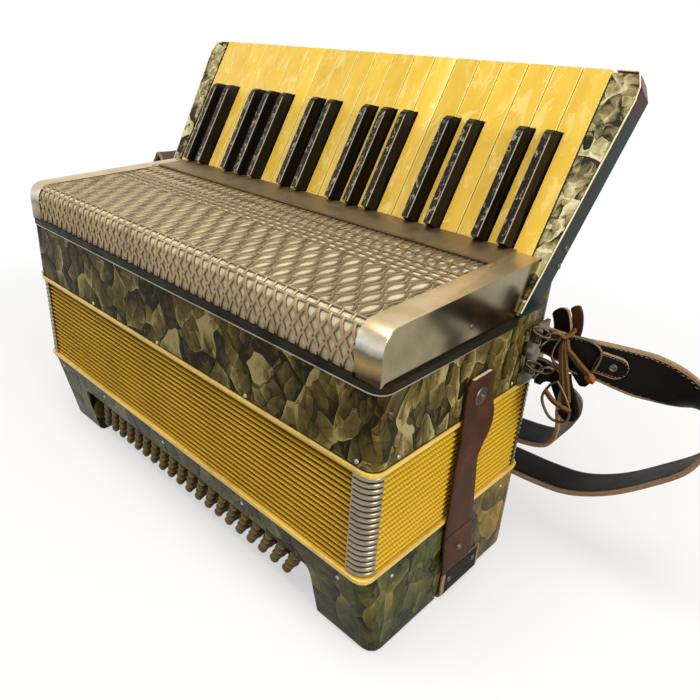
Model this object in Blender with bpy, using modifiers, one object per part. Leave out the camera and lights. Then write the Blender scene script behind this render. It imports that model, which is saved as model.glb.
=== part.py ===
"""Piano accordion with 34 keys and 80 bass buttons, standing on its bass side.

Metres, +Z up. X runs along the keyboard with the low notes at +X, -Y is the front,
and the bellows draw out along +Z.
"""

import math

import bmesh
import bpy
from mathutils import Matrix, Vector

# Clearances
GAP = 0.0003
KEY_SIDE_GAP = 0.0004
BLACK_KEY_SIDE_GAP = 0.0008

# Casing
BODY_DEPTH = 0.1875
CORNER_RADIUS = 0.009
WALL = 0.006
BINDING_HEIGHT = 0.0035
BINDING_PROUD = 0.0012

# Bass side
BASS_HEIGHT = 0.0815
BASS_FRONT_SLANT = 0.0187
BASS_EDGE_RADIUS = 0.003
RECESS_LENGTH = 0.314
RECESS_CORNER_RADIUS = 0.010
RECESS_TOP_HEIGHT = 0.055
BASS_FLOOR_THICKNESS = 0.005
BASS_PLATE_BELOW_RECESS_TOP = 0.0375
BASS_PLATE_THICKNESS = 0.003

# Bass buttons
BUTTON_COLUMNS = 20
BUTTON_ROWS = 4
BUTTON_PITCH = 0.0138
BUTTON_ROW_PITCH = 0.0095
BUTTON_ROW_STAGGER = 0.005
BUTTONS_BELOW_RECESS_TOP = 0.008
BUTTON_RADIUS = 0.0045
BUTTON_TIP_RADIUS = 0.0036
BUTTON_LENGTH = 0.0125
BUTTON_TIP_DEPTH = 0.001
BOARD_DEPTH = 0.018
BOARD_THICKNESS = 0.004
BOARD_EDGE_MARGIN = 0.007
RAIL_THICKNESS = 0.0024
RAIL_TAIL = 0.007
RAIL_END = 0.003

# Bellows
BELLOWS_HEIGHT = 0.0770
BELLOWS_INSET = 0.0020
BELLOWS_FOLDS = 18
BELLOWS_FOLD_DEPTH = 0.006
BELLOWS_WALL = 0.003

# Treble side
TREBLE_HEIGHT = 0.0590
SOUNDBOARD_HEIGHT = 0.0195
SOUNDBOARD_THICKNESS = 0.006

# Grille over the treble side
GRILLE_INSET = 0.0020
GRILLE_FRONT_HEIGHT = 0.0325
GRILLE_SLOPE = 0.028
GRILLE_NOSE_RADIUS = 0.0125
GRILLE_WALL = 0.0016
GRILLE_TO_KEYS = 0.0008
CLOTH_THICKNESS = 0.0008

# Keyboard
KEYBOARD_INSET = 0.0467
KEYBOARD_TILT = math.radians(59.8)
WHITE_KEYS = 20
KEY_PITCH = 0.020
KEY_THICKNESS = 0.009
WHITE_KEY_END = 0.174
KEY_SLAB_START = 0.024
BLACK_KEY_WIDTH = 0.0096
BLACK_KEY_TOP_WIDTH = 0.0054
BLACK_KEY_START = 0.0430
BLACK_KEY_END = 0.127
BLACK_KEY_RISE = 0.0115
BLACK_KEY_END_RADIUS = 0.0095
KEY_TRAVEL_DEPTH = 0.0065
BED_THICKNESS = 0.0045
BED_END = 0.170
CHEEK_WIDTH = 0.009
CHEEK_THICKNESS = 0.0195
CHEEK_FLARE = 0.0145
CHEEK_CORNER_RADIUS = 0.006
CHEEK_CHAMFER_LENGTH = 0.013
CHEEK_CHAMFER_WIDTH = 0.0065

# Key levers and axle
AXLE_BEHIND_KEYS = 0.0112
AXLE_ABOVE_SOUNDBOARD = 0.014
AXLE_RADIUS = 0.0015
AXLE_CLEARANCE = 0.0004
LEVER_WIDTH = 0.005
LEVER_THICKNESS = 0.0055
LEVER_HEEL = 0.0062
PALLET_THICKNESS = 0.0060
WHITE_PALLET_Y = 0.056
WHITE_PALLET_LENGTH = 0.030
WHITE_PALLET_WIDTH = 0.017
BLACK_PALLET_Y = 0.096
BLACK_PALLET_LENGTH = 0.026
BLACK_PALLET_WIDTH = 0.012

# Reed blocks
REED_BASE_THICKNESS = 0.005
REED_BLOCK_END_MARGIN = 0.020
REED_BAR_THICKNESS = 0.022
REED_BAR_SPACING = 0.046
TREBLE_REED_BAR_COUNT = 3
TREBLE_REED_BAR_HEIGHT = 0.040
BASS_REED_BAR_COUNT = 2
BASS_REED_BAR_HEIGHT = 0.036

# Hand strap
HAND_STRAP_Y = 0.117
HAND_STRAP_WIDTH = 0.050
HAND_STRAP_THICKNESS = 0.0025
HAND_STRAP_FLOOR_GAP = 0.0022
HAND_STRAP_STAND_OFF = 0.0008
HAND_STRAP_TAB_TOP = 0.0265
HAND_STRAP_BEND = 0.00375
HAND_STRAP_BEND_CUT = 0.0011
STRAP_NOTCH_CLEARANCE = 0.002

# Bellows strap at the low end
BELLOWS_STRAP_Y = 0.105
BELLOWS_STRAP_WIDTH = 0.038
BELLOWS_STRAP_THICKNESS = 0.003
BELLOWS_STRAP_BOTTOM = 0.031
BELLOWS_STRAP_BELOW_RIM = 0.0255
BELLOWS_STRAP_STAND_OFF = 0.0003

# Shoulder straps and brackets
BRACKET_INSET = 0.0175
BRACKET_WIDTH = 0.030
BRACKET_THICKNESS = 0.003
BRACKET_MARGIN = 0.010
BOSS_RADIUS = 0.0045
BOSS_LENGTH = 0.0025
UPPER_STRAP_BELOW_RIM = 0.0215
STRAP_SPACING = 0.024
SHOULDER_STRAP_WIDTH = 0.042
SHOULDER_STRAP_TAB_WIDTH = 0.020
SHOULDER_STRAP_THICKNESS = 0.003
STRAP_FULL_WIDTH_SHARE = 0.65
STRAP_BACK_GAP = 0.0035
STRAP_STEPS = 2

# Air button on the back
AIR_BUTTON_X = 0.120
AIR_BUTTON_HEIGHT = 0.040
AIR_BUTTON_RADIUS = 0.005
AIR_BUTTON_PROUD = 0.003
AIR_BUTTON_FLANGE_RADIUS = 0.007
AIR_BUTTON_FLANGE = 0.0015
AIR_BUTTON_TAIL = 0.004

# Where the main levels lie
KEYBOARD_HALF = WHITE_KEYS * KEY_PITCH / 2
HALF_LENGTH = KEYBOARD_HALF + CHEEK_WIDTH
KEY_PLANE_START_Y = BODY_DEPTH - KEYBOARD_INSET
AXLE_Y = KEY_PLANE_START_Y + AXLE_BEHIND_KEYS
BRACKET_Y = BODY_DEPTH - BRACKET_INSET
BASS_TOP = BASS_HEIGHT
TREBLE_BOTTOM = BASS_TOP + BELLOWS_HEIGHT
RIM = TREBLE_BOTTOM + TREBLE_HEIGHT
SOUNDBOARD_BOTTOM = TREBLE_BOTTOM + SOUNDBOARD_HEIGHT
SOUNDBOARD_TOP = SOUNDBOARD_BOTTOM + SOUNDBOARD_THICKNESS
AXLE_Z = SOUNDBOARD_TOP + AXLE_ABOVE_SOUNDBOARD
BASS_FLOOR_TOP = RECESS_TOP_HEIGHT + BASS_FLOOR_THICKNESS
BASS_PLATE_HEIGHT = RECESS_TOP_HEIGHT - BASS_PLATE_BELOW_RECESS_TOP
BUTTON_HIGHEST_ROW = RECESS_TOP_HEIGHT - BUTTONS_BELOW_RECESS_TOP
BUTTON_LOWEST_ROW = BUTTON_HIGHEST_ROW - (BUTTON_ROWS - 1) * BUTTON_ROW_PITCH
BED_TOP_DEPTH = KEY_THICKNESS + KEY_TRAVEL_DEPTH
BED_BOTTOM_DEPTH = BED_TOP_DEPTH + BED_THICKNESS
UPPER_STRAP_HEIGHT = RIM - UPPER_STRAP_BELOW_RIM
LOWER_STRAP_HEIGHT = UPPER_STRAP_HEIGHT - STRAP_SPACING
BELLOWS_STRAP_TOP = RIM - BELLOWS_STRAP_BELOW_RIM
CUT_MARGIN = 0.02

# White keys from the high end: the letters tell where a black key follows at +X
HIGH_END_LETTER = "E"
SCALE_DOWN = "EDCBAGF"
BLACK_BELOW = "EDBAG"

COLOURS = {
    "pearloid_brown": ((0.115, 0.098, 0.045, 1), 0.28, 0.0),
    "pearloid_green": ((0.045, 0.060, 0.030, 1), 0.30, 0.0),
    "binding": ((0.72, 0.52, 0.16, 1), 0.40, 0.0),
    "bellows_cloth": ((0.62, 0.40, 0.05, 1), 0.65, 0.0),
    "grille_metal": ((0.34, 0.29, 0.21, 1), 0.35, 1.0),
    "cream_cloth": ((0.75, 0.66, 0.45, 1), 0.90, 0.0),
    "white_key": ((0.80, 0.58, 0.18, 1), 0.30, 0.0),
    "black_key": ((0.05, 0.05, 0.05, 1), 0.25, 0.0),
    "wood": ((0.28, 0.15, 0.06, 1), 0.60, 0.0),
    "steel": ((0.55, 0.54, 0.52, 1), 0.30, 1.0),
    "button": ((0.20, 0.12, 0.03, 1), 0.40, 0.0),
    "brown_leather": ((0.09, 0.035, 0.018, 1), 0.55, 0.0),
    "black_leather": ((0.012, 0.010, 0.008, 1), 0.50, 0.0),
    "dark_plate": ((0.02, 0.03, 0.02, 1), 0.45, 0.0),
}


def clear_scene():
    """Removes what the file holds, so the script can be run again."""
    for obj in list(bpy.data.objects):
        bpy.data.objects.remove(obj, do_unlink=True)
    for coll in list(bpy.data.collections):
        bpy.data.collections.remove(coll)


def make_collection(name, hidden=False):
    """Adds a collection under the scene's own."""
    coll = bpy.data.collections.new(name)
    bpy.context.scene.collection.children.link(coll)
    coll.hide_render = hidden
    return coll


def material(node_name, colour_name):
    """Gives each piece a material of its own."""
    colour, roughness, metallic = COLOURS[colour_name]
    mat = bpy.data.materials.new(node_name + "_finish")
    mat.use_nodes = True
    shader = mat.node_tree.nodes["Principled BSDF"]
    shader.inputs["Base Color"].default_value = colour
    shader.inputs["Roughness"].default_value = roughness
    shader.inputs["Metallic"].default_value = metallic
    mat.diffuse_color = colour
    return mat


def finish_piece(obj, name, colour_name, parent=None, smooth=False):
    """Names a piece, files it with the parts and hangs it on its parent."""
    obj.name = name
    obj.data.name = name
    for coll in list(obj.users_collection):
        coll.objects.unlink(obj)
    bpy.data.collections[PARTS].objects.link(obj)
    obj.data.materials.clear()
    obj.data.materials.append(material(name, colour_name))
    if smooth:
        obj.data.polygons.foreach_set("use_smooth", [True] * len(obj.data.polygons))
    if parent is not None:
        obj.parent = parent
        obj.matrix_parent_inverse = Matrix.Translation(parent.location).inverted()
    return obj


def finish_cutter(obj, name):
    """Files a cutter away from the parts."""
    obj.name = name
    for coll in list(obj.users_collection):
        coll.objects.unlink(obj)
    bpy.data.collections[CUTTERS].objects.link(obj)
    obj.hide_render = True
    obj.display_type = "WIRE"
    return obj


def pivot(name, place):
    """Adds an empty on a joint's axis."""
    empty = bpy.data.objects.new(name, None)
    bpy.data.collections[PARTS].objects.link(empty)
    empty.location = place
    empty.empty_display_size = 0.01
    return empty


def object_from_bmesh(bm, name):
    """Makes a scene object from a bmesh and frees it."""
    mesh = bpy.data.meshes.new(name)
    bmesh.ops.recalc_face_normals(bm, faces=bm.faces)
    bm.to_mesh(mesh)
    bm.free()
    obj = bpy.data.objects.new(name, mesh)
    bpy.context.scene.collection.objects.link(obj)
    return obj


def bevel_edges(bm, chosen, radius, segments):
    """Rounds the edges that the test picks."""
    edges = [e for e in bm.edges if chosen(e)]
    bmesh.ops.bevel(
        bm,
        geom=edges,
        offset=radius,
        segments=segments,
        profile=0.5,
        affect="EDGES",
        material=-1,
        clamp_overlap=True,
    )


def upright(edge):
    """Tells if an edge runs mostly up and down."""
    way = edge.verts[1].co - edge.verts[0].co
    return abs(way.z) > 0.7 * way.length


def box(name, low, high, round_upright=0.0, segments=3):
    """A box between two corners, with its upright edges rounded if asked."""
    low = Vector(low)
    high = Vector(high)
    bm = bmesh.new()
    bmesh.ops.create_cube(bm, size=1.0)
    bmesh.ops.scale(bm, vec=high - low, verts=bm.verts)
    bmesh.ops.translate(bm, vec=(low + high) / 2, verts=bm.verts)
    if round_upright > 0:
        bevel_edges(bm, upright, round_upright, segments)
    return object_from_bmesh(bm, name)


def side_prism(name, outline, x_low, x_high):
    """A flat outline in Y and Z, filled and drawn out along X."""
    curve = bpy.data.curves.new(name, "CURVE")
    curve.dimensions = "2D"
    curve.fill_mode = "BOTH"
    curve.extrude = (x_high - x_low) / 2
    spline = curve.splines.new("POLY")
    spline.points.add(len(outline) - 1)
    for point, (y, z) in zip(spline.points, outline):
        point.co = (y, z, 0, 1)
    spline.use_cyclic_u = True
    flat = bpy.data.objects.new(name + "_curve", curve)
    bpy.context.scene.collection.objects.link(flat)
    flat.matrix_world = Matrix(
        (
            (0, 0, 1, (x_low + x_high) / 2),
            (1, 0, 0, 0),
            (0, 1, 0, 0),
            (0, 0, 0, 1),
        )
    )
    bpy.context.view_layer.update()
    graph = bpy.context.evaluated_depsgraph_get()
    mesh = bpy.data.meshes.new_from_object(flat.evaluated_get(graph))
    bm = bmesh.new()
    bm.from_mesh(mesh)
    bmesh.ops.transform(bm, matrix=flat.matrix_world, verts=bm.verts)
    bmesh.ops.remove_doubles(bm, verts=bm.verts, dist=1e-6)
    bmesh.ops.dissolve_limit(bm, angle_limit=0.001, verts=bm.verts, edges=bm.edges)
    bpy.data.objects.remove(flat, do_unlink=True)
    bpy.data.meshes.remove(mesh)
    return object_from_bmesh(bm, name)


def rod_along_x(name, y, z, radius, x_low, x_high, sides):
    """A round rod along X."""
    bm = bmesh.new()
    bmesh.ops.create_cone(
        bm,
        cap_ends=True,
        segments=sides,
        radius1=radius,
        radius2=radius,
        depth=x_high - x_low,
    )
    turn = Matrix.Rotation(math.radians(90), 4, "Y")
    bmesh.ops.transform(bm, matrix=turn, verts=bm.verts)
    bmesh.ops.translate(bm, vec=((x_low + x_high) / 2, y, z), verts=bm.verts)
    return object_from_bmesh(bm, name)


def boolean(obj, other, operation, keep_cutter=False):
    """Applies one exact Boolean and puts the other piece away."""
    mod = obj.modifiers.new(operation.lower(), "BOOLEAN")
    mod.operation = operation
    mod.solver = "EXACT"
    mod.object = other
    bpy.context.view_layer.update()
    graph = bpy.context.evaluated_depsgraph_get()
    mesh = bpy.data.meshes.new_from_object(obj.evaluated_get(graph))
    old = obj.data
    obj.modifiers.remove(mod)
    obj.data = mesh
    bpy.data.meshes.remove(old)
    if keep_cutter:
        finish_cutter(other, other.name)
    else:
        bpy.data.objects.remove(other, do_unlink=True)
    return obj


def cut(obj, *others):
    """Takes cutters away from a piece and keeps them for reference."""
    for other in others:
        boolean(obj, other, "DIFFERENCE", keep_cutter=True)
    return obj


def join(obj, *others):
    """Grows a piece together with others."""
    for other in others:
        boolean(obj, other, "UNION")
    return obj


def on_key_plane(along, above):
    """Y and Z of a point given along the key tops and above them."""
    y = KEY_PLANE_START_Y + along * math.cos(KEYBOARD_TILT) - above * math.sin(KEYBOARD_TILT)
    z = RIM + along * math.sin(KEYBOARD_TILT) + above * math.cos(KEYBOARD_TILT)
    return (y, z)


def along_at_height(z, above):
    """Distance along the key tops at which a parallel plane reaches a height."""
    return (z - RIM - above * math.cos(KEYBOARD_TILT)) / math.sin(KEYBOARD_TILT)


def arc_points(centre, radius, start, end, steps):
    """Points on an arc in Y and Z, with both ends."""
    points = []
    for i in range(steps + 1):
        angle = start + (end - start) * i / steps
        points.append((centre[0] + radius * math.cos(angle), centre[1] + radius * math.sin(angle)))
    return points


def binding(name, z_low, parent):
    """The yellow strip round the mouth of a casing, as a flat frame."""
    half = HALF_LENGTH + BINDING_PROUD
    frame = box(
        name,
        (-half, -BINDING_PROUD, z_low),
        (half, BODY_DEPTH + BINDING_PROUD, z_low + BINDING_HEIGHT),
        CORNER_RADIUS,
    )
    inner = HALF_LENGTH - WALL
    hole = box(
        name + "_cutter",
        (-inner, WALL, z_low - CUT_MARGIN),
        (inner, BODY_DEPTH - WALL, z_low + BINDING_HEIGHT + CUT_MARGIN),
    )
    cut(frame, hole)
    return finish_piece(frame, name, "binding", parent)


def bass_front_y(z):
    """Y of the bass casing's slanted front at a height."""
    return BASS_FRONT_SLANT * (1 - z / BASS_HEIGHT)


def recess_shape(name, inset):
    """The room between the bass cheeks, with rounded upper corners."""
    half = RECESS_LENGTH / 2 - inset
    shape = box(
        name,
        (-half, -CUT_MARGIN, -CUT_MARGIN),
        (half, BODY_DEPTH - WALL - inset, RECESS_TOP_HEIGHT - inset),
    )
    bm = bmesh.new()
    bm.from_mesh(shape.data)
    bevel_edges(
        bm,
        lambda e: min(v.co.z for v in e.verts) > 0
        and abs(e.verts[0].co.y - e.verts[1].co.y) > CUT_MARGIN,
        RECESS_CORNER_RADIUS,
        3,
    )
    bm.to_mesh(shape.data)
    bm.free()
    return shape


def bass_body():
    """Bass casing: mechanism box between two deep cheeks that stand on the floor."""
    top = BASS_TOP - BINDING_HEIGHT - GAP
    outline = [
        (bass_front_y(0), 0),
        (BODY_DEPTH, 0),
        (BODY_DEPTH, top),
        (bass_front_y(top), top),
    ]
    body = side_prism("bass_body", outline, -HALF_LENGTH, HALF_LENGTH)
    bm = bmesh.new()
    bm.from_mesh(body.data)
    bevel_edges(bm, upright, CORNER_RADIUS, 3)
    bevel_edges(bm, lambda e: max(v.co.z for v in e.verts) < 1e-5, BASS_EDGE_RADIUS, 1)
    bm.to_mesh(body.data)
    bm.free()
    inner = HALF_LENGTH - WALL
    chest = box(
        "bass_chest_cutter",
        (-inner, bass_front_y(BASS_FLOOR_TOP) + WALL, BASS_FLOOR_TOP),
        (inner, BODY_DEPTH - WALL, BASS_TOP + CUT_MARGIN),
    )
    recess = recess_shape("bass_recess_cutter", 0)
    half = RECESS_LENGTH / 2
    wrist = box(
        "wrist_cutter",
        (-half, BODY_DEPTH - WALL - GAP, -CUT_MARGIN),
        (half, BODY_DEPTH + CUT_MARGIN, BASS_PLATE_HEIGHT),
    )
    strap_half = HAND_STRAP_WIDTH / 2 + STRAP_NOTCH_CLEARANCE
    notch = box(
        "strap_notch_cutter",
        (-HALF_LENGTH - CUT_MARGIN, HAND_STRAP_Y - strap_half, -CUT_MARGIN),
        (
            HALF_LENGTH + CUT_MARGIN,
            HAND_STRAP_Y + strap_half,
            HAND_STRAP_FLOOR_GAP + HAND_STRAP_THICKNESS + STRAP_NOTCH_CLEARANCE,
        ),
    )
    thumb_hole = rod_along_x(
        "air_button_cutter", 0, 0, AIR_BUTTON_RADIUS + GAP, -CUT_MARGIN, CUT_MARGIN, 12
    )
    thumb_hole.data.transform(Matrix.Rotation(math.radians(90), 4, "Z"))
    thumb_hole.data.transform(
        Matrix.Translation((AIR_BUTTON_X, BODY_DEPTH, AIR_BUTTON_HEIGHT))
    )
    cut(body, chest, recess, wrist, notch, thumb_hole)
    return finish_piece(body, "bass_body", "pearloid_green")


def bass_plate():
    """Removable plate that closes the bass mechanism on the palm's side."""
    half = RECESS_LENGTH / 2 - GAP
    front = board_point(0, -(BOARD_DEPTH + BOARD_THICKNESS)).y
    front += BASS_FRONT_SLANT * (BOARD_THICKNESS / BASS_HEIGHT)
    plate = box(
        "bass_plate",
        (-half, front + GAP, BASS_PLATE_HEIGHT),
        (half, BODY_DEPTH - WALL - GAP, BASS_PLATE_HEIGHT + BASS_PLATE_THICKNESS),
    )
    return finish_piece(plate, "bass_plate", "dark_plate")


def board_frame():
    """Matrix whose axes run along the button rows, up the slant and out of it."""
    up = Vector((0, -BASS_FRONT_SLANT, BASS_HEIGHT)).normalized()
    out = Vector((0, -BASS_HEIGHT, -BASS_FRONT_SLANT)).normalized()
    along = up.cross(out)
    frame = Matrix((along, up, out)).transposed().to_4x4()
    frame.translation = Vector((0, BASS_FRONT_SLANT, 0))
    return frame


def board_point(up, out):
    """World place of a point on the slanted front's own axes."""
    return board_frame() @ Vector((0, up, out))


def slanted_box(name, low, high):
    """A box given on the slanted front's own axes."""
    obj = box(name, low, high)
    obj.data.transform(board_frame())
    return obj


def row_up(row):
    """How far up the slant a button row lies."""
    return BUTTON_LOWEST_ROW + row * BUTTON_ROW_PITCH


def row_shift(row):
    """How far along X a button row is moved, so the columns slant."""
    return (row - (BUTTON_ROWS - 1) / 2) * BUTTON_ROW_STAGGER


def row_half():
    """Half the distance between a row's first and last button."""
    return (BUTTON_COLUMNS - 1) * BUTTON_PITCH / 2


def button_board():
    """Board that guides the button rows, one slot for each."""
    half = RECESS_LENGTH / 2 - GAP
    top_up = RECESS_TOP_HEIGHT / math.cos(math.atan2(BASS_FRONT_SLANT, BASS_HEIGHT))
    slope = BASS_FRONT_SLANT / BASS_HEIGHT
    board = slanted_box(
        "button_board",
        (-half, BUTTON_LOWEST_ROW - BOARD_EDGE_MARGIN, -BOARD_DEPTH - BOARD_THICKNESS),
        (
            half,
            top_up - (BOARD_DEPTH + BOARD_THICKNESS) * slope - GAP,
            -BOARD_DEPTH,
        ),
    )
    boolean(board, recess_shape("board_trim", GAP), "INTERSECT")
    for row in range(BUTTON_ROWS):
        reach = row_half() + RAIL_END + 2 * GAP
        slot = slanted_box(
            f"button_slot_cutter_{row + 1}",
            (
                row_shift(row) - reach,
                row_up(row) - RAIL_THICKNESS / 2 - GAP,
                -BOARD_DEPTH - BOARD_THICKNESS - CUT_MARGIN / 4,
            ),
            (
                row_shift(row) + reach,
                row_up(row) + RAIL_THICKNESS / 2 + GAP,
                -BOARD_DEPTH + CUT_MARGIN / 4,
            ),
        )
        cut(board, slot)
    return finish_piece(board, "button_board", "wood")


def button_row(row):
    """Twenty bass buttons on one rail that slides through the board."""
    reach = row_half() + RAIL_END
    base = -BUTTON_TIP_DEPTH - BUTTON_LENGTH
    rail = slanted_box(
        f"button_row_{row + 1}",
        (
            row_shift(row) - reach,
            row_up(row) - RAIL_THICKNESS / 2,
            -BOARD_DEPTH - BOARD_THICKNESS - RAIL_TAIL,
        ),
        (row_shift(row) + reach, row_up(row) + RAIL_THICKNESS / 2, base + GAP),
    )
    bm = bmesh.new()
    for column in range(BUTTON_COLUMNS):
        place = Matrix.Translation(
            (
                row_shift(row) - row_half() + column * BUTTON_PITCH,
                row_up(row),
                base + BUTTON_LENGTH / 2,
            )
        )
        bmesh.ops.create_cone(
            bm,
            cap_ends=True,
            segments=8,
            radius1=BUTTON_RADIUS,
            radius2=BUTTON_TIP_RADIUS,
            depth=BUTTON_LENGTH,
            matrix=place,
        )
    caps = object_from_bmesh(bm, "button_caps")
    caps.data.transform(board_frame())
    join(rail, caps)
    return finish_piece(rail, f"button_row_{row + 1}", "button", smooth=False)


def air_button():
    """Button in the back wall that lets the bellows move without a note."""
    profile = [
        (0, AIR_BUTTON_PROUD),
        (AIR_BUTTON_RADIUS, AIR_BUTTON_PROUD),
        (AIR_BUTTON_RADIUS, -WALL - GAP),
        (AIR_BUTTON_FLANGE_RADIUS, -WALL - GAP),
        (AIR_BUTTON_FLANGE_RADIUS, -WALL - GAP - AIR_BUTTON_FLANGE),
        (AIR_BUTTON_RADIUS, -WALL - GAP - AIR_BUTTON_FLANGE),
        (AIR_BUTTON_RADIUS, -WALL - GAP - AIR_BUTTON_FLANGE - AIR_BUTTON_TAIL),
        (0, -WALL - GAP - AIR_BUTTON_FLANGE - AIR_BUTTON_TAIL),
    ]
    bm = bmesh.new()
    verts = [bm.verts.new((r, 0, h)) for r, h in profile]
    for first, second in zip(verts, verts[1:]):
        bm.edges.new((first, second))
    bmesh.ops.spin(
        bm,
        geom=bm.verts[:] + bm.edges[:],
        cent=(0, 0, 0),
        axis=(0, 0, 1),
        angle=math.tau,
        steps=12,
        use_merge=True,
    )
    bmesh.ops.remove_doubles(bm, verts=bm.verts, dist=1e-6)
    bmesh.ops.rotate(
        bm, cent=(0, 0, 0), matrix=Matrix.Rotation(math.radians(-90), 3, "X"), verts=bm.verts
    )
    button = object_from_bmesh(bm, "air_button")
    button.location = (AIR_BUTTON_X, BODY_DEPTH, AIR_BUTTON_HEIGHT)
    return finish_piece(button, "air_button", "button")


def reed_block(name, bars, bar_height, seat, direction, parent=None):
    """Base board with upright reed bars, above or below its seat."""
    half = HALF_LENGTH - WALL - REED_BLOCK_END_MARGIN
    middle = BODY_DEPTH / 2
    width = (bars - 1) * REED_BAR_SPACING + REED_BAR_THICKNESS
    near = seat + direction * GAP
    far = near + direction * REED_BASE_THICKNESS
    base_levels = sorted((near, far))
    block = box(
        name,
        (-half, middle - width / 2 - WALL, base_levels[0]),
        (half, middle + width / 2 + WALL, base_levels[1]),
    )
    for bar in range(bars):
        y = middle + (bar - (bars - 1) / 2) * REED_BAR_SPACING
        levels = sorted((far - direction * GAP, far + direction * bar_height))
        piece = box(
            name + "_bar",
            (-half, y - REED_BAR_THICKNESS / 2, levels[0]),
            (half, y + REED_BAR_THICKNESS / 2, levels[1]),
        )
        join(block, piece)
    return finish_piece(block, name, "wood", parent)


def bellows():
    """Pleated tube, open to both casings."""
    bottom = BASS_TOP + GAP
    top = TREBLE_BOTTOM - GAP
    steps = BELLOWS_FOLDS * 2
    bm = bmesh.new()
    loops = []
    for wall in (0, BELLOWS_WALL):
        column = []
        for i in range(steps + 1):
            z = bottom + (top - bottom) * i / steps
            fold = BELLOWS_FOLD_DEPTH if i % 2 == 0 else 0
            inset = BELLOWS_INSET + wall + fold
            x = HALF_LENGTH - inset
            low = inset
            high = BODY_DEPTH - inset
            corner = CORNER_RADIUS / 2
            outline = [
                (-x + corner, low),
                (x - corner, low),
                (x, low + corner),
                (x, high - corner),
                (x - corner, high),
                (-x + corner, high),
                (-x, high - corner),
                (-x, low + corner),
            ]
            column.append([bm.verts.new((px, py, z)) for px, py in outline])
        loops.append(column)
    outer, inner = loops
    for column in loops:
        for lower, upper in zip(column, column[1:]):
            for k in range(len(lower)):
                n = (k + 1) % len(lower)
                bm.faces.new((lower[k], lower[n], upper[n], upper[k]))
    for end in (0, -1):
        for k in range(len(outer[end])):
            n = (k + 1) % len(outer[end])
            bm.faces.new((outer[end][k], outer[end][n], inner[end][n], inner[end][k]))
    return finish_piece(object_from_bmesh(bm, "bellows"), "bellows", "bellows_cloth")


def treble_body(parent):
    """Treble casing with its soundboard, cut back for the grille and the keyboard."""
    bottom = TREBLE_BOTTOM + BINDING_HEIGHT + GAP
    wall_top = on_key_plane(WHITE_KEY_END, 0)[1]
    body = box(
        "treble_body",
        (-HALF_LENGTH, 0, bottom),
        (HALF_LENGTH, BODY_DEPTH, wall_top),
        CORNER_RADIUS,
        4,
    )
    below_bed = -(BED_BOTTOM_DEPTH + GAP)
    seat = on_key_plane(along_at_height(RIM, below_bed), below_bed)
    far = on_key_plane(WHITE_KEY_END * 2, below_bed)
    room = side_prism(
        "keyboard_room_cutter",
        [(-CUT_MARGIN, RIM), seat, far, (-CUT_MARGIN, far[1])],
        -HALF_LENGTH - CUT_MARGIN,
        HALF_LENGTH + CUT_MARGIN,
    )
    inner = HALF_LENGTH - WALL
    lower = box(
        "treble_lower_cutter",
        (-inner, WALL, TREBLE_BOTTOM - CUT_MARGIN),
        (inner, BODY_DEPTH - WALL, SOUNDBOARD_BOTTOM),
    )
    upper = box(
        "treble_upper_cutter",
        (-inner, WALL, SOUNDBOARD_TOP),
        (inner, BODY_DEPTH - WALL, wall_top + CUT_MARGIN),
    )
    cut(body, room, lower, upper)
    return finish_piece(body, "treble_body", "pearloid_brown", parent)


def grille_outline(offset, back_offset):
    """Side outline of the grille, drawn in by a wall, back edge along the keys."""
    front = offset
    top = RIM + GRILLE_FRONT_HEIGHT - offset
    radius = GRILLE_NOSE_RADIUS - offset
    nose = arc_points((front + radius, top - radius), radius, math.pi, math.pi / 2, 4)
    sine = math.sin(KEYBOARD_TILT)
    cosine = math.cos(KEYBOARD_TILT)
    level = top + GRILLE_SLOPE * (KEY_PLANE_START_Y - back_offset * sine - GRILLE_NOSE_RADIUS)
    along = (level - RIM - back_offset * cosine) / (sine - GRILLE_SLOPE * cosine)
    top_point = on_key_plane(along, back_offset)
    low_point = on_key_plane(along_at_height(RIM + GAP, back_offset), back_offset)
    return [(front, RIM + GAP)] + nose + [top_point, low_point]


def grille(parent):
    """Metal grille over the treble side, open below and towards the keys."""
    half = HALF_LENGTH - GRILLE_INSET
    shell = side_prism("grille", grille_outline(0, GRILLE_TO_KEYS), -half, half)
    hollow_outline = grille_outline(GRILLE_WALL, -CUT_MARGIN)
    hollow_outline[0] = (GRILLE_WALL, RIM - CUT_MARGIN)
    hollow_outline[-1] = (hollow_outline[-1][0], RIM - CUT_MARGIN)
    hollow = side_prism("grille_hollow_cutter", hollow_outline, -half + GRILLE_WALL, half - GRILLE_WALL)
    cut(shell, hollow)
    return finish_piece(shell, "grille", "grille_metal", parent)


def grille_cloth(parent):
    """Pale cloth behind the grille's front and top."""
    outer = grille_outline(GRILLE_WALL + GAP, GRILLE_TO_KEYS)
    inner = grille_outline(GRILLE_WALL + GAP + CLOTH_THICKNESS, GRILLE_TO_KEYS)
    outline = outer[:-1] + inner[-2::-1]
    half = HALF_LENGTH - GRILLE_INSET - GRILLE_WALL - GAP
    cloth = side_prism("grille_cloth", outline, -half, half)
    return finish_piece(cloth, "grille_cloth", "cream_cloth", parent)


def keyboard_bed(parent):
    """Board under the keys, seated on the casing's back wall."""
    below = -BED_BOTTOM_DEPTH
    above = -BED_TOP_DEPTH
    start = along_at_height(RIM, below) + WALL
    outline = [
        on_key_plane(start, below),
        on_key_plane(BED_END, below),
        on_key_plane(BED_END, above),
        on_key_plane(start, above),
    ]
    half = KEYBOARD_HALF + GAP
    bed = side_prism("keyboard_bed", outline, -half, half)
    return finish_piece(bed, "keyboard_bed", "wood", parent)


def rounded_end(along, above, radius):
    """Points of a quarter round that ends a key or an arm at its far end."""
    points = []
    for i in range(4):
        angle = math.pi / 2 * i / 3
        points.append(
            on_key_plane(
                along - radius + radius * math.sin(angle),
                above - radius + radius * math.cos(angle),
            )
        )
    return points


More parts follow.
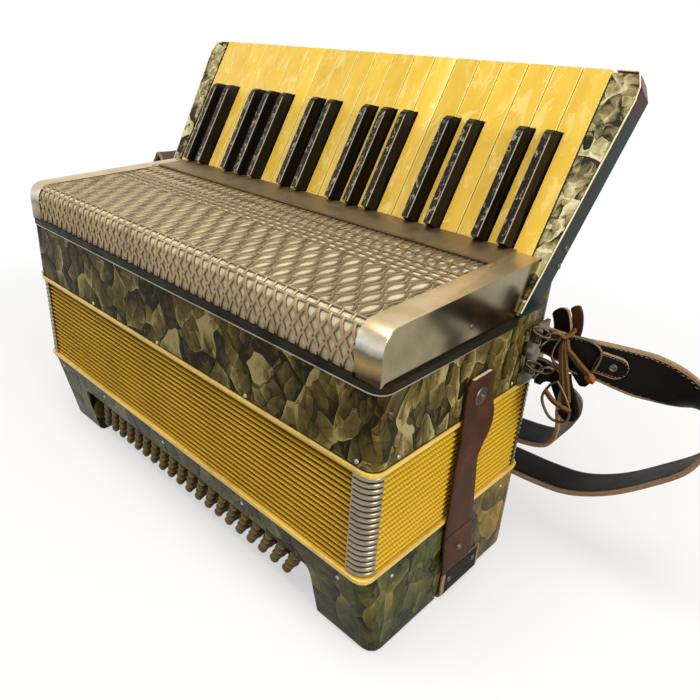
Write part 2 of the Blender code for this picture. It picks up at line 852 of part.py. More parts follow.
def chamfer_cheek(arm):
    """Cuts the outer top corner off a flared arm."""
    outer = HALF_LENGTH + CHEEK_FLARE
    place = on_key_plane(WHITE_KEY_END, 0)
    along = Vector((0, math.cos(KEYBOARD_TILT), math.sin(KEYBOARD_TILT)))
    bm = bmesh.new()
    bm.from_mesh(arm.data)
    made = bmesh.ops.bisect_plane(
        bm,
        geom=bm.verts[:] + bm.edges[:] + bm.faces[:],
        dist=1e-6,
        plane_co=(outer - CHEEK_CHAMFER_WIDTH, *place),
        plane_no=Vector((CHEEK_CHAMFER_LENGTH, 0, 0)) + along * CHEEK_CHAMFER_WIDTH,
        clear_outer=True,
    )
    rim = [g for g in made["geom_cut"] if isinstance(g, bmesh.types.BMEdge)]
    bmesh.ops.edgeloop_fill(bm, edges=rim)
    bmesh.ops.recalc_face_normals(bm, faces=bm.faces)
    bm.to_mesh(arm.data)
    bm.free()


def cheek(name, side, parent):
    """Arm at one end of the keyboard, flared outwards towards its top."""
    inner = KEYBOARD_HALF + 2 * GAP
    rest = RIM + GAP
    low_front = along_at_height(rest, 0)
    low_back = along_at_height(rest, -CHEEK_THICKNESS)
    outline = [
        on_key_plane(low_front, 0),
        *rounded_end(WHITE_KEY_END, 0, CHEEK_CORNER_RADIUS),
        on_key_plane(WHITE_KEY_END, -CHEEK_THICKNESS),
        on_key_plane(low_back, -CHEEK_THICKNESS),
    ]
    arm = side_prism(name, outline, inner, HALF_LENGTH)
    for vert in arm.data.vertices:
        if vert.co.x > HALF_LENGTH - GAP:
            rise = (vert.co.y - KEY_PLANE_START_Y) * math.cos(KEYBOARD_TILT)
            rise += (vert.co.z - RIM) * math.sin(KEYBOARD_TILT)
            vert.co.x = HALF_LENGTH + CHEEK_FLARE * rise / WHITE_KEY_END
    chamfer_cheek(arm)
    if side < 0:
        arm.data.transform(Matrix.Scale(-1, 4, (1, 0, 0)))
        arm.data.flip_normals()
    return finish_piece(arm, name, "pearloid_brown", parent)


def lever_outline(pallet_y):
    """Side outline of a key's lever, from its pallet over the axle to the slab."""
    low = SOUNDBOARD_TOP + GAP + PALLET_THICKNESS - GAP
    high = low + LEVER_THICKNESS
    slab_low = on_key_plane(KEY_SLAB_START + LEVER_WIDTH, -KEY_THICKNESS + GAP)
    slab_high = on_key_plane(KEY_SLAB_START + LEVER_WIDTH, -GAP)
    return [
        (pallet_y, low),
        (AXLE_Y + LEVER_HEEL / 2, low),
        (AXLE_Y + LEVER_HEEL, AXLE_Z),
        slab_low,
        slab_high,
        (AXLE_Y - LEVER_HEEL, AXLE_Z + LEVER_HEEL),
        (AXLE_Y - LEVER_HEEL, high),
        (pallet_y, high),
    ]


def key_lever(name, x, pallet_y, pallet_length, pallet_width):
    """The hidden half of a key: lever and pallet, with the hole for the axle."""
    lever = side_prism(name, lever_outline(pallet_y), x - LEVER_WIDTH / 2, x + LEVER_WIDTH / 2)
    low = SOUNDBOARD_TOP + GAP
    pallet = box(
        name + "_pallet",
        (x - pallet_width / 2, pallet_y - pallet_length / 2, low),
        (x + pallet_width / 2, pallet_y + pallet_length / 2, low + PALLET_THICKNESS),
    )
    join(lever, pallet)
    bore = rod_along_x(
        name + "_bore_cutter",
        AXLE_Y,
        AXLE_Z,
        AXLE_RADIUS + AXLE_CLEARANCE,
        x - LEVER_WIDTH,
        x + LEVER_WIDTH,
        8,
    )
    boolean(lever, bore, "DIFFERENCE")
    return lever


def white_letter(index):
    """Letter of a white key, counted from the high end."""
    start = SCALE_DOWN.index(HIGH_END_LETTER)
    return SCALE_DOWN[(start + index) % len(SCALE_DOWN)]


def black_place(index):
    """X of the black key between this white key and the next one towards +X."""
    return -KEYBOARD_HALF + (index + 1) * KEY_PITCH


def has_black_after(index):
    """Tells if a black key lies between this white key and the next one."""
    return index < WHITE_KEYS - 1 and white_letter(index) in BLACK_BELOW


def white_key(index, parent):
    """One white key: slab with room for its black neighbours, and its lever."""
    name = f"white_key_{index + 1:02d}"
    left = -KEYBOARD_HALF + index * KEY_PITCH
    outline = [
        on_key_plane(KEY_SLAB_START, 0),
        on_key_plane(WHITE_KEY_END, 0),
        on_key_plane(WHITE_KEY_END, -KEY_THICKNESS),
        on_key_plane(KEY_SLAB_START, -KEY_THICKNESS),
    ]
    slab = side_prism(name, outline, left + KEY_SIDE_GAP, left + KEY_PITCH - KEY_SIDE_GAP)
    beside = []
    if has_black_after(index):
        beside.append(black_place(index))
    if index > 0 and has_black_after(index - 1):
        beside.append(black_place(index - 1))
    for x in beside:
        reach = BLACK_KEY_WIDTH / 2 + BLACK_KEY_SIDE_GAP
        end = BLACK_KEY_END + BLACK_KEY_SIDE_GAP
        room = side_prism(
            name + "_notch_cutter",
            [
                on_key_plane(0, CUT_MARGIN),
                on_key_plane(end, CUT_MARGIN),
                on_key_plane(end, -CUT_MARGIN),
                on_key_plane(0, -CUT_MARGIN),
            ],
            x - reach,
            x + reach,
        )
        boolean(slab, room, "DIFFERENCE")
    centre = left + KEY_PITCH / 2
    lever = key_lever(name + "_lever", centre, WHITE_PALLET_Y, WHITE_PALLET_LENGTH, WHITE_PALLET_WIDTH)
    join(slab, lever)
    return finish_piece(slab, name, "white_key", parent)


def black_key(number, index, parent):
    """One black key: raised head with sloping sides, and its lever."""
    name = f"black_key_{number:02d}"
    x = black_place(index)
    outline = [
        on_key_plane(KEY_SLAB_START, -GAP),
        on_key_plane(BLACK_KEY_START, -GAP),
        on_key_plane(BLACK_KEY_START, BLACK_KEY_RISE),
        *rounded_end(BLACK_KEY_END, BLACK_KEY_RISE, BLACK_KEY_END_RADIUS),
        on_key_plane(BLACK_KEY_END, -KEY_THICKNESS),
        on_key_plane(KEY_SLAB_START, -KEY_THICKNESS),
    ]
    head = side_prism(name, outline, x - BLACK_KEY_WIDTH / 2, x + BLACK_KEY_WIDTH / 2)
    for vert in head.data.vertices:
        rise = -(vert.co.y - KEY_PLANE_START_Y) * math.sin(KEYBOARD_TILT)
        rise += (vert.co.z - RIM) * math.cos(KEYBOARD_TILT)
        if rise > 0:
            narrow = (BLACK_KEY_WIDTH - BLACK_KEY_TOP_WIDTH) / 2 * rise / BLACK_KEY_RISE
            vert.co.x += narrow if vert.co.x < x else -narrow
    lever = key_lever(name + "_lever", x, BLACK_PALLET_Y, BLACK_PALLET_LENGTH, BLACK_PALLET_WIDTH)
    join(head, lever)
    return finish_piece(head, name, "black_key", parent)


def key_axle(parent):
    """Steel rod that carries all the keys."""
    half = HALF_LENGTH - WALL - GAP
    rod = rod_along_x("key_axle", AXLE_Y, AXLE_Z, AXLE_RADIUS, -half, half, 8)
    return finish_piece(rod, "key_axle", "steel", parent, smooth=True)


def smooth_path(points, steps):
    """Reads a smooth curve through points, with a few steps between each two."""
    path = []
    last = len(points) - 1
    for i in range(last):
        before = Vector(points[max(i - 1, 0)])
        start = Vector(points[i])
        end = Vector(points[i + 1])
        after = Vector(points[min(i + 2, last)])
        for k in range(steps):
            t = k / steps
            path.append(
                0.5
                * (
                    2 * start
                    + (end - before) * t
                    + (2 * before - 5 * start + 4 * end - after) * t * t
                    + (3 * start - before - 3 * end + after) * t**3
                )
            )
    path.append(Vector(points[-1]))
    return path


def band_side(path, i, turn):
    """Direction of a strap's width at a point, square to the strap's course."""
    way = (path[min(i + 1, len(path) - 1)] - path[max(i - 1, 0)]).normalized()
    side = Vector((0, math.cos(turn), -math.sin(turn)))
    return (side - way * side.dot(way)).normalized()


def band(name, path, widths, thickness, turns=None):
    """A flat strap along a path, its width along Y unless it is turned."""
    turns = turns or [0] * len(path)
    bm = bmesh.new()
    edge = None
    for i, (place, width, turn) in enumerate(zip(path, widths, turns)):
        side = band_side(path, i, turn) * width / 2
        if edge is None:
            edge = bm.edges.new((bm.verts.new(place - side), bm.verts.new(place + side)))
            continue
        made = bmesh.ops.extrude_edge_only(bm, edges=[edge])
        edge = [g for g in made["geom"] if isinstance(g, bmesh.types.BMEdge)][0]
        reach = [v.co.dot(side) for v in edge.verts]
        near, far = edge.verts if reach[0] < reach[1] else reversed(edge.verts)
        near.co = place - side
        far.co = place + side
    obj = object_from_bmesh(bm, name)
    solid = obj.modifiers.new("thickness", "SOLIDIFY")
    solid.thickness = thickness
    solid.offset = 0
    solid.use_even_offset = True
    return obj


def hand_strap():
    """Strap for the left hand, along the bottom and up both end faces."""
    face = HALF_LENGTH + HAND_STRAP_STAND_OFF + HAND_STRAP_THICKNESS / 2
    low = HAND_STRAP_FLOOR_GAP + HAND_STRAP_THICKNESS / 2
    half_path = [
        (face, HAND_STRAP_Y, HAND_STRAP_TAB_TOP),
        (face, HAND_STRAP_Y, low + HAND_STRAP_BEND),
        (face - HAND_STRAP_BEND_CUT, HAND_STRAP_Y, low + HAND_STRAP_BEND_CUT),
        (face - HAND_STRAP_BEND, HAND_STRAP_Y, low),
    ]
    path = [Vector(p) for p in half_path]
    path += [Vector((-x, y, z)) for x, y, z in reversed(half_path)]
    strap = band("hand_strap", path, [HAND_STRAP_WIDTH] * len(path), HAND_STRAP_THICKNESS)
    return finish_piece(strap, "hand_strap", "black_leather")


def bellows_strap():
    """Leather strap that keeps the bellows shut, on its hinge at the lower end."""
    inner = HALF_LENGTH + BINDING_PROUD + BELLOWS_STRAP_STAND_OFF
    hinge = pivot("bellows_strap_hinge", (inner, BELLOWS_STRAP_Y, BELLOWS_STRAP_BOTTOM))
    strap = box(
        "bellows_strap",
        (inner, BELLOWS_STRAP_Y - BELLOWS_STRAP_WIDTH / 2, BELLOWS_STRAP_BOTTOM),
        (
            inner + BELLOWS_STRAP_THICKNESS,
            BELLOWS_STRAP_Y + BELLOWS_STRAP_WIDTH / 2,
            BELLOWS_STRAP_TOP,
        ),
    )
    return finish_piece(strap, "bellows_strap", "brown_leather", hinge)


def strap_bracket(name, side, parent):
    """Plate on an end face with a boss for each shoulder strap."""
    start = HALF_LENGTH + GAP
    plate = box(
        name,
        (start, BRACKET_Y - BRACKET_WIDTH / 2, LOWER_STRAP_HEIGHT - BRACKET_MARGIN),
        (
            start + BRACKET_THICKNESS,
            BRACKET_Y + BRACKET_WIDTH / 2,
            UPPER_STRAP_HEIGHT + BRACKET_MARGIN,
        ),
    )
    for height in (UPPER_STRAP_HEIGHT, LOWER_STRAP_HEIGHT):
        boss = rod_along_x(
            name + "_boss",
            BRACKET_Y,
            height,
            BOSS_RADIUS,
            start + BRACKET_THICKNESS - GAP,
            start + BRACKET_THICKNESS + BOSS_LENGTH,
            12,
        )
        join(plate, boss)
    if side < 0:
        plate.data.transform(Matrix.Scale(-1, 4, (1, 0, 0)))
        plate.data.flip_normals()
    return finish_piece(plate, name, "steel", parent)


def strap_course(height, low_end, run, high_end):
    """Places along a shoulder strap, from the boss at the low end to the other."""
    end_x = HALF_LENGTH + GAP + BRACKET_THICKNESS + BOSS_LENGTH + GAP
    far_y = BODY_DEPTH + STRAP_BACK_GAP + SHOULDER_STRAP_WIDTH / 2
    points = []
    for out, back, rise, _ in low_end:
        points.append((end_x + out, BRACKET_Y + (far_y - BRACKET_Y) * back, height + rise))
    for share, rise in run:
        points.append((end_x * share, far_y, height + rise))
    for out, back, rise, _ in high_end:
        points.append((-end_x - out, BRACKET_Y + (far_y - BRACKET_Y) * back, height + rise))
    return points


def strap_turns(low_end, run, high_end):
    """How far a shoulder strap is turned on edge at each point of its course."""
    turns = [(turn, 0, 0) for *_, turn in low_end]
    turns += [(0, 0, 0)] * len(run)
    turns += [(turn, 0, 0) for *_, turn in high_end]
    return turns


def shoulder_strap(name, height, course, parent):
    """Strap from the boss at the low end, behind the casing, to the other boss."""
    far_y = BODY_DEPTH + STRAP_BACK_GAP + SHOULDER_STRAP_WIDTH / 2
    path = smooth_path(strap_course(height, *course), STRAP_STEPS)
    turns = [math.radians(t.x) for t in smooth_path(strap_turns(*course), STRAP_STEPS)]
    widths = []
    for place in path:
        share = (place.y - BRACKET_Y) / (far_y - BRACKET_Y) / STRAP_FULL_WIDTH_SHARE
        share = min(1, max(0, share))
        widths.append(
            SHOULDER_STRAP_TAB_WIDTH + (SHOULDER_STRAP_WIDTH - SHOULDER_STRAP_TAB_WIDTH) * share
        )
    strap = band(name, path, widths, SHOULDER_STRAP_THICKNESS, turns)
    hinge = pivot(name + "_hinge", (0, BRACKET_Y, height))
    hinge.parent = parent
    hinge.matrix_parent_inverse = Matrix.Translation(parent.location).inverted()
    return finish_piece(strap, name, "black_leather", hinge)


# Courses of the straps: at each end the distance out, the share of the way back,
# the rise and the turn in degrees, and between them the share of the half length and the rise
UPPER_STRAP_COURSE = (
    (
        (0.0005, 0.00, 0.000, 90),
        (0.008, 0.00, 0.000, 90),
        (0.022, 0.16, -0.004, 90),
        (0.047, 0.48, -0.010, 88),
        (0.076, 0.82, -0.017, 72),
        (0.099, 1.00, -0.028, 44),
        (0.1088, 1.00, -0.046, 18),
        (0.104, 1.00, -0.067, 4),
        (0.084, 1.00, -0.090, 0),
        (0.060, 1.00, -0.112, 0),
        (0.034, 1.00, -0.127, 0),
        (0.008, 1.00, -0.132, 0),
    ),
    ((0.86, -0.134), (0.45, -0.138), (0.0, -0.139), (-0.45, -0.137), (-0.86, -0.131)),
    (
        (0.022, 1.00, -0.124, 0),
        (0.068, 1.00, -0.106, 0),
        (0.102, 1.00, -0.067, 0),
        (0.110, 1.00, -0.022, 0),
        (0.096, 0.96, 0.020, 0),
        (0.066, 0.78, 0.048, 0),
        (0.040, 0.46, 0.044, 0),
        (0.022, 0.18, 0.018, 0),
        (0.012, 0.03, 0.004, 0),
        (0.005, 0.00, 0.000, 0),
        (0.0005, 0.00, 0.000, 0),
    ),
)
LOWER_STRAP_LOW_END = (
    (0.0005, 0.00, 0.000, 90),
    (0.006, 0.00, 0.000, 90),
    (0.013, 0.06, -0.004, 60),
    (0.019, 0.22, -0.018, 20),
    (0.020, 0.62, -0.040, 0),
    (0.014, 0.98, -0.062, 0),
    (0.004, 1.00, -0.075, 0),
)
LOWER_STRAP_COURSE = (
    LOWER_STRAP_LOW_END,
    ((0.86, -0.081), (0.50, -0.085), (0.0, -0.087), (-0.50, -0.085), (-0.86, -0.081)),
    tuple(reversed(LOWER_STRAP_LOW_END)),
)

PARTS = "accordion"
CUTTERS = "accordion_cutters"


def build_bass_side():
    """Everything that stays with the bass casing."""
    bass_body()
    binding("bass_binding", BASS_TOP - BINDING_HEIGHT, None)
    bass_plate()
    button_board()
    for row in range(BUTTON_ROWS):
        button_row(row)
    air_button()
    reed_block("bass_reed_block", BASS_REED_BAR_COUNT, BASS_REED_BAR_HEIGHT, BASS_FLOOR_TOP, 1)
    bellows()
    hand_strap()
    bellows_strap()


def build_treble_side():
    """Everything that the bellows carry."""
    carrier = pivot("treble_side", (0, 0, TREBLE_BOTTOM))
    keys = pivot("keys", (0, AXLE_Y, AXLE_Z))
    keys.parent = carrier
    keys.matrix_parent_inverse = Matrix.Translation(carrier.location).inverted()
    treble_body(carrier)
    binding("treble_binding", TREBLE_BOTTOM, carrier)
    grille(carrier)
    grille_cloth(carrier)
    keyboard_bed(carrier)
    cheek("cheek_low_end", 1, carrier)
    cheek("cheek_high_end", -1, carrier)
    key_axle(carrier)
    reed_block(
        "treble_reed_block", TREBLE_REED_BAR_COUNT, TREBLE_REED_BAR_HEIGHT, SOUNDBOARD_BOTTOM, -1, carrier
    )
    strap_bracket("strap_bracket_low_end", 1, carrier)
    strap_bracket("strap_bracket_high_end", -1, carrier)
    shoulder_strap("shoulder_strap_upper", UPPER_STRAP_HEIGHT, UPPER_STRAP_COURSE, carrier)
    shoulder_strap("shoulder_strap_lower", LOWER_STRAP_HEIGHT, LOWER_STRAP_COURSE, carrier)
    number = 0
    for index in range(WHITE_KEYS):
        white_key(index, keys)
        if has_black_after(index):
            number += 1
            black_key(number, index, keys)


def centre_depth():
    """Moves everything so that the origin lies halfway through the depth."""
    back = on_key_plane(WHITE_KEY_END, -CHEEK_THICKNESS)[0]
    middle = (back - BINDING_PROUD) / 2
    for obj in bpy.data.objects:
        if obj.parent is None:
            obj.location.y -= middle


def main():
    """Builds the accordion."""
    clear_scene()
    make_collection(PARTS)
    make_collection(CUTTERS, hidden=True)
    build_bass_side()
    build_treble_side()
    centre_depth()


main()
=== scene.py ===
"""Looks of the piano accordion: pearloid casings, pierced grille, pleated bellows and leather.

Metres, +Z up, -Y is the front and the low notes are at +X.
"""

import math

import bmesh
import bpy
from bpy.props import FloatProperty, FloatVectorProperty, IntProperty, PointerProperty
from mathutils import Matrix, Vector


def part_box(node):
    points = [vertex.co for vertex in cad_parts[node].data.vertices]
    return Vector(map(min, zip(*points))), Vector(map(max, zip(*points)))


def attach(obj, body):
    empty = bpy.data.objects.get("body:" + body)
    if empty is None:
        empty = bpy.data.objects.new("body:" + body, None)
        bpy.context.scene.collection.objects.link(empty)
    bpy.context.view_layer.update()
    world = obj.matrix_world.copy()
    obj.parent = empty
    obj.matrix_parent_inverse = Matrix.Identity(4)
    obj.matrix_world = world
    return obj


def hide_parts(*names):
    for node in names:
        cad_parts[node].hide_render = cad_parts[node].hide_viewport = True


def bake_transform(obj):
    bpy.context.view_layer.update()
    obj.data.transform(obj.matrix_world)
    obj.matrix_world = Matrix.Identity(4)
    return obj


bl_info = {
    "name": "Piano Accordion Looks",
    "version": (1, 0, 0),
    "blender": (4, 5, 0),
    "location": "3D View > Sidebar > Accordion",
    "description": "Dresses a piano accordion's frame in pearloid, metal, cloth and leather",
    "category": "Object",
}

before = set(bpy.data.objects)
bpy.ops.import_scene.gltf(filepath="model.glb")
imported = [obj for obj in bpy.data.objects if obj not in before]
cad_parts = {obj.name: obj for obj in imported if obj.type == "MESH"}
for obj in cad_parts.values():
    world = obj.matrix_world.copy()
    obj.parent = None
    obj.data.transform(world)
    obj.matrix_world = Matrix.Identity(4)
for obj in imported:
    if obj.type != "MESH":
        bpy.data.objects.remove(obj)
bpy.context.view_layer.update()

TREBLE_LOW, TREBLE_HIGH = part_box("treble_body")
BELLOWS_LOW, BELLOWS_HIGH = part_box("bellows")
GRILLE_LOW, GRILLE_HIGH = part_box("grille")
HALF = TREBLE_HIGH.x
FRONT = TREBLE_LOW.y
BACK = TREBLE_HIGH.y
RIM = GRILLE_LOW.z
TREBLE = "treble_side"
BASS = "bass_side"

# Slot of the fittings: pins, caps, buckles and studs
FITTINGS = "strap_bracket_low_end"

# The two ends: name and way along X
ENDS = (("low_end", 1), ("high_end", -1))

# The plane of the white keys' tops
KEY_TILT = math.radians(59.8)
KEY_START = Vector((0, FRONT + 0.1408, 0.2175))
KEY_ALONG = Vector((0, math.cos(KEY_TILT), math.sin(KEY_TILT)))
KEY_OUT = Vector((0, -math.sin(KEY_TILT), math.cos(KEY_TILT)))
KEY_PITCH = 0.020
HALF_KEYS = 0.200
KEY_END = 0.174
BLACK_RISE = 0.0115

# The cheeks: inner edge, flare, and the cut corner
CHEEK_INNER = 0.2006
CHEEK_FLARE = 0.0145
CHAMFER_LENGTH = 0.013
CHAMFER_WIDTH = 0.0065
CHEEK_FOOT = 0.002
CHEEK_ROWS = 16

# Pearl: cells in one shard's width, how much smaller the second layer is, and its middle shade
CELL_SCALE = 1.25
SMALL_SHARDS = 2.2
MIDDLE_SHADE = 0.44

# Name, place, size, power and colour of each lamp, and where they aim
LAMPS = (
    ("key_lamp", (2.0, -0.25, 1.0), 1.1, 30.0, (1.0, 0.96, 0.90)),
    ("fill_lamp", (-1.5, -1.2, 1.0), 1.4, 6.0, (0.97, 0.98, 1.0)),
    ("top_lamp", (0.1, -0.45, 1.85), 1.1, 22.0, (1.0, 0.97, 0.93)),
)
LAMP_AIM = Vector((0, 0, 0.15))
WORLD_STRENGTH = 0.30

# Places along the grille's sheet, from the rim up and back, its spacing and its bars
RAIL_FRONT = 0.0310
RAIL_GAP = 0.0058
EYE_PITCH = 0.0176
EYE_ROW = 0.0228
EYE_ROWS = 3
EYE_SWING = 0.0043
BORDER_START = 0.1545
NOSE_BAR = 0.0013
TOP_BAR = 0.0008
BAR_SINK = 0.0009
ARCH_STEPS = 12
CHAIN_STEPS = 42
BAR_SECTION = ((-1.1, -0.5), (1.1, -0.5), (1.0, 0.2), (0.55, 0.5), (-0.55, 0.5), (-1.0, 0.2))

# The grille's section
NOSE_RADIUS = 0.0125
GRILLE_FRONT_HEIGHT = 0.0325
GRILLE_SLOPE = 0.028
GRILLE_TO_KEYS = 0.0008

# Bellows: how far the crests stand in, the corner's radius, and one fold as (height, depth) shares
BELLOWS_INSET = 0.0012
CAP_RADIUS = 0.0092
CORNER_STEPS = 4
BAND_CORNER = 0.009
CAP_BULGE = 0.0018
CAP_HEIGHT = 0.47
FOLD_SECTION = (
    (0.00, 1.00),
    (0.10, 0.86),
    (0.22, 0.42),
    (0.32, 0.12),
    (0.42, 0.00),
    (0.58, 0.00),
    (0.68, 0.12),
    (0.78, 0.42),
    (0.90, 0.86),
)

# How far out a blend's ends lie; the caps compute these ends but nothing uses them
BLEND_REACH = 50.0

# The floor: its half size, the light it gives back, and where it runs out into white
FLOOR_SIZE = 6.0
FLOOR_BOUNCE = 0.5
FLOOR_NEAR = 0.28
FLOOR_FAR = 0.75

# The bass casing's slanted front and the ways up it and out of it
BASS_TOP = 0.0815
BASS_SLANT = 0.0187
BASS_UP = Vector((0, -BASS_SLANT, BASS_TOP)).normalized()
BASS_OUT = Vector((0, -BASS_TOP, -BASS_SLANT)).normalized()

# Bass buttons, as the frame has them, and their profile as (share of the radius, height)
BUTTON_ROWS = 4
BUTTON_COLUMNS = 20
BUTTON_PITCH = 0.0138
BUTTON_ROW_PITCH = 0.0095
BUTTON_STAGGER = 0.005
BUTTON_LOWEST = 0.0185
BUTTON_TIP = 0.001
BUTTON_LENGTH = 0.0125
BUTTON_RAIL_DEPTH = 0.0212
BUTTON_PROFILE = (
    (0, 0),
    (0.35, 0.0001),
    (0.68, 0.0007),
    (0.86, 0.0018),
    (0.9, 0.0032),
    (0.82, 0.0046),
    (0.80, 0.0075),
    (0.98, 0.0095),
    (0.98, BUTTON_LENGTH),
    (0, BUTTON_LENGTH),
)

# Photograph's camera
CAMERA_PLACE = (0.38546, FRONT - 0.23873, 0.39055)
CAMERA_AZIMUTH = -44.95
CAMERA_TILT = -25.36
CAMERA_ROLL = 2.04
CAMERA_LENS = 33.63
CAMERA_SHIFT = (0.0714, -0.0286)

# Screws in the casings: radius, height, and places as (x, z) on a front or (y, z) on an end
PIN = (0.0017, 0.0008)
TREBLE_PINS = ((-0.0068, 0.164), (-0.203, 0.165), (0.196, 0.166), (-0.105, 0.1645), (0.098, 0.1645))
TREBLE_END_PINS = ((0.022, 0.1655), (0.150, 0.1655))
BASS_PINS = ((0.186, 0.0675), (-0.013, 0.0675), (-0.190, 0.0675), (0.09, 0.0675), (-0.11, 0.0675))
BASS_END_PINS = ((0.030, 0.068), (0.165, 0.068))

# Shoulder straps: where they start, how far back they reach, and their widths
BRACKET_Y = FRONT + 0.170
STRAP_END = 0.2151
STRAP_FAR = FRONT + 0.212
STRAP_NARROW = 0.020
STRAP_WIDE = 0.036
STRAP_BODY = 0.0034
FULL_WIDTH_SHARE = 0.65
UPPER_HEIGHT = 0.196
LOWER_HEIGHT = 0.172

# Stitches stop where a strap turns by more than this between two places
STITCH_TURN = math.radians(9)

# The same courses as the frame's straps: out, share of the way back, rise and turn in degrees
UPPER_COURSE = (
    (
        (0.0005, 0.00, 0.000, 90),
        (0.008, 0.00, 0.000, 90),
        (0.022, 0.16, -0.004, 90),
        (0.047, 0.48, -0.010, 88),
        (0.076, 0.82, -0.017, 72),
        (0.099, 1.00, -0.028, 44),
        (0.1088, 1.00, -0.046, 18),
        (0.104, 1.00, -0.067, 4),
        (0.084, 1.00, -0.090, 0),
        (0.060, 1.00, -0.112, 0),
        (0.034, 1.00, -0.127, 0),
        (0.008, 1.00, -0.132, 0),
    ),
    ((0.86, -0.134), (0.45, -0.138), (0.0, -0.139), (-0.45, -0.137), (-0.86, -0.131)),
    (
        (0.022, 1.00, -0.124, 0),
        (0.068, 1.00, -0.106, 0),
        (0.102, 1.00, -0.067, 0),
        (0.110, 1.00, -0.022, 0),
        (0.096, 0.96, 0.020, 0),
        (0.066, 0.78, 0.048, 0),
        (0.040, 0.46, 0.044, 0),
        (0.022, 0.18, 0.018, 0),
        (0.012, 0.03, 0.004, 0),
        (0.005, 0.00, 0.000, 0),
        (0.0005, 0.00, 0.000, 0),
    ),
)
LOWER_END = (
    (0.0005, 0.00, 0.000, 90),
    (0.006, 0.00, 0.000, 90),
    (0.013, 0.06, -0.004, 60),
    (0.019, 0.22, -0.018, 20),
    (0.020, 0.62, -0.040, 0),
    (0.014, 0.98, -0.062, 0),
    (0.004, 1.00, -0.075, 0),
)
LOWER_COURSE = (
    LOWER_END,
    ((0.86, -0.081), (0.50, -0.085), (0.0, -0.087), (-0.50, -0.085), (-0.86, -0.081)),
    tuple(reversed(LOWER_END)),
)
STRAPS = (("upper", UPPER_HEIGHT, UPPER_COURSE), ("lower", LOWER_HEIGHT, LOWER_COURSE))

# The bellows strap: height, how far off its inner face, width and how far back its middle lies
BELLOWS_STRAP_COURSE = (
    (0.0310, 0.0021, 0.038, 0.0020),
    (0.0420, 0.0016, 0.037, 0.0012),
    (0.0540, 0.0010, 0.0355, -0.0004),
    (0.0650, 0.0010, 0.0345, -0.0022),
    (0.0800, 0.0012, 0.0330, -0.0035),
    (0.1000, 0.0012, 0.0305, -0.0052),
    (0.1120, 0.0012, 0.0285, -0.0062),
    (0.1250, 0.0012, 0.0275, -0.0067),
    (0.1370, 0.0014, 0.0320, -0.0045),
    (0.1490, 0.0016, 0.0385, -0.0012),
    (0.1600, 0.0015, 0.0365, -0.0026),
    (0.1720, 0.0011, 0.0330, -0.0045),
    (0.1840, 0.0010, 0.0318, -0.0050),
    (0.1890, 0.0010, 0.0290, -0.0050),
    (0.1915, 0.0010, 0.0230, -0.0050),
    (0.1920, 0.0010, 0.0215, -0.0050),
)

# Profiles of turned fittings as (radius, height)
STUD_PROFILE = (
    (0, 0.0030),
    (0.0016, 0.0028),
    (0.0024, 0.0018),
    (0.0026, 0.0010),
    (0.0060, 0.0008),
    (0.0066, 0.0002),
    (0.0062, -0.0004),
)
RIVET_PROFILE = ((0, 0.0016), (0.0018, 0.0013), (0.0026, 0.0004), (0.0028, -0.0004))
EYELET_PROFILE = (
    (0, 0.0002),
    (0.0010, 0.0002),
    (0.0013, 0.0010),
    (0.0019, 0.0013),
    (0.0026, 0.0010),
    (0.0029, 0.0),
    (0, -0.0004),
)

# Points of the upper strap's path on its way out, where the knot sits
WAY_OUT = 24

# The knot. Each place is a reach out of the strap's end, a depth and a rise over the upper strap
LOWER_BUCKLE = (
    (0.0188, -0.006, -0.0230),
    (0.0145, -0.006, -0.0280),
    (0.0108, -0.006, -0.0393),
    (0.0159, -0.006, -0.0493),
    (0.0219, -0.006, -0.0530),
    (0.0302, -0.006, -0.0506),
    (0.0315, -0.006, -0.0418),
    (0.0261, -0.006, -0.0316),
    (0.0188, -0.006, -0.0230),
)

# Strap tips: name, finish, strap, width, way of the face along X, rounding, mark of the cut edge,
# and places
TIPS = (
    (
        ("black", "black", "upper", 0.0125, 1, 0.3, 0.5),
        (
            (0.0105, 0.004, -0.006),
            (0.0107, 0.005, 0.0056),
            (0.0100, 0.005, 0.0121),
            (0.0078, 0.005, 0.0188),
            (0.0049, 0.005, 0.0238),
        ),
    ),
    (
        ("brown", "brown", "upper", 0.0075, 1, 0.3, 0.0),
        (
            (0.0175, 0.0075, -0.004),
            (0.0182, 0.008, 0.007),
            (0.0183, 0.008, 0.0142),
            (0.0166, 0.008, 0.0225),
            (0.0137, 0.008, 0.0275),
        ),
    ),
    (
        ("flap", "black", "upper", 0.0085, -1, 0.3, 0.0),
        (
            (0.0165, -0.001, 0.0005),
            (0.0198, 0.000, -0.0038),
            (0.0235, 0.002, -0.0107),
            (0.0283, 0.004, -0.0179),
            (0.0339, 0.006, -0.0248),
        ),
    ),
    (
        ("lower", "black", "lower", 0.0150, -1, 0.5, 0.0),
        (
            (0.0175, 0.0, -0.0200),
            (0.0205, -0.001, -0.0275),
            (0.0250, -0.001, -0.0355),
            (0.0285, -0.001, -0.0430),
            (0.0305, -0.001, -0.0520),
        ),
    ),
)
TIP_BODY = 0.0022

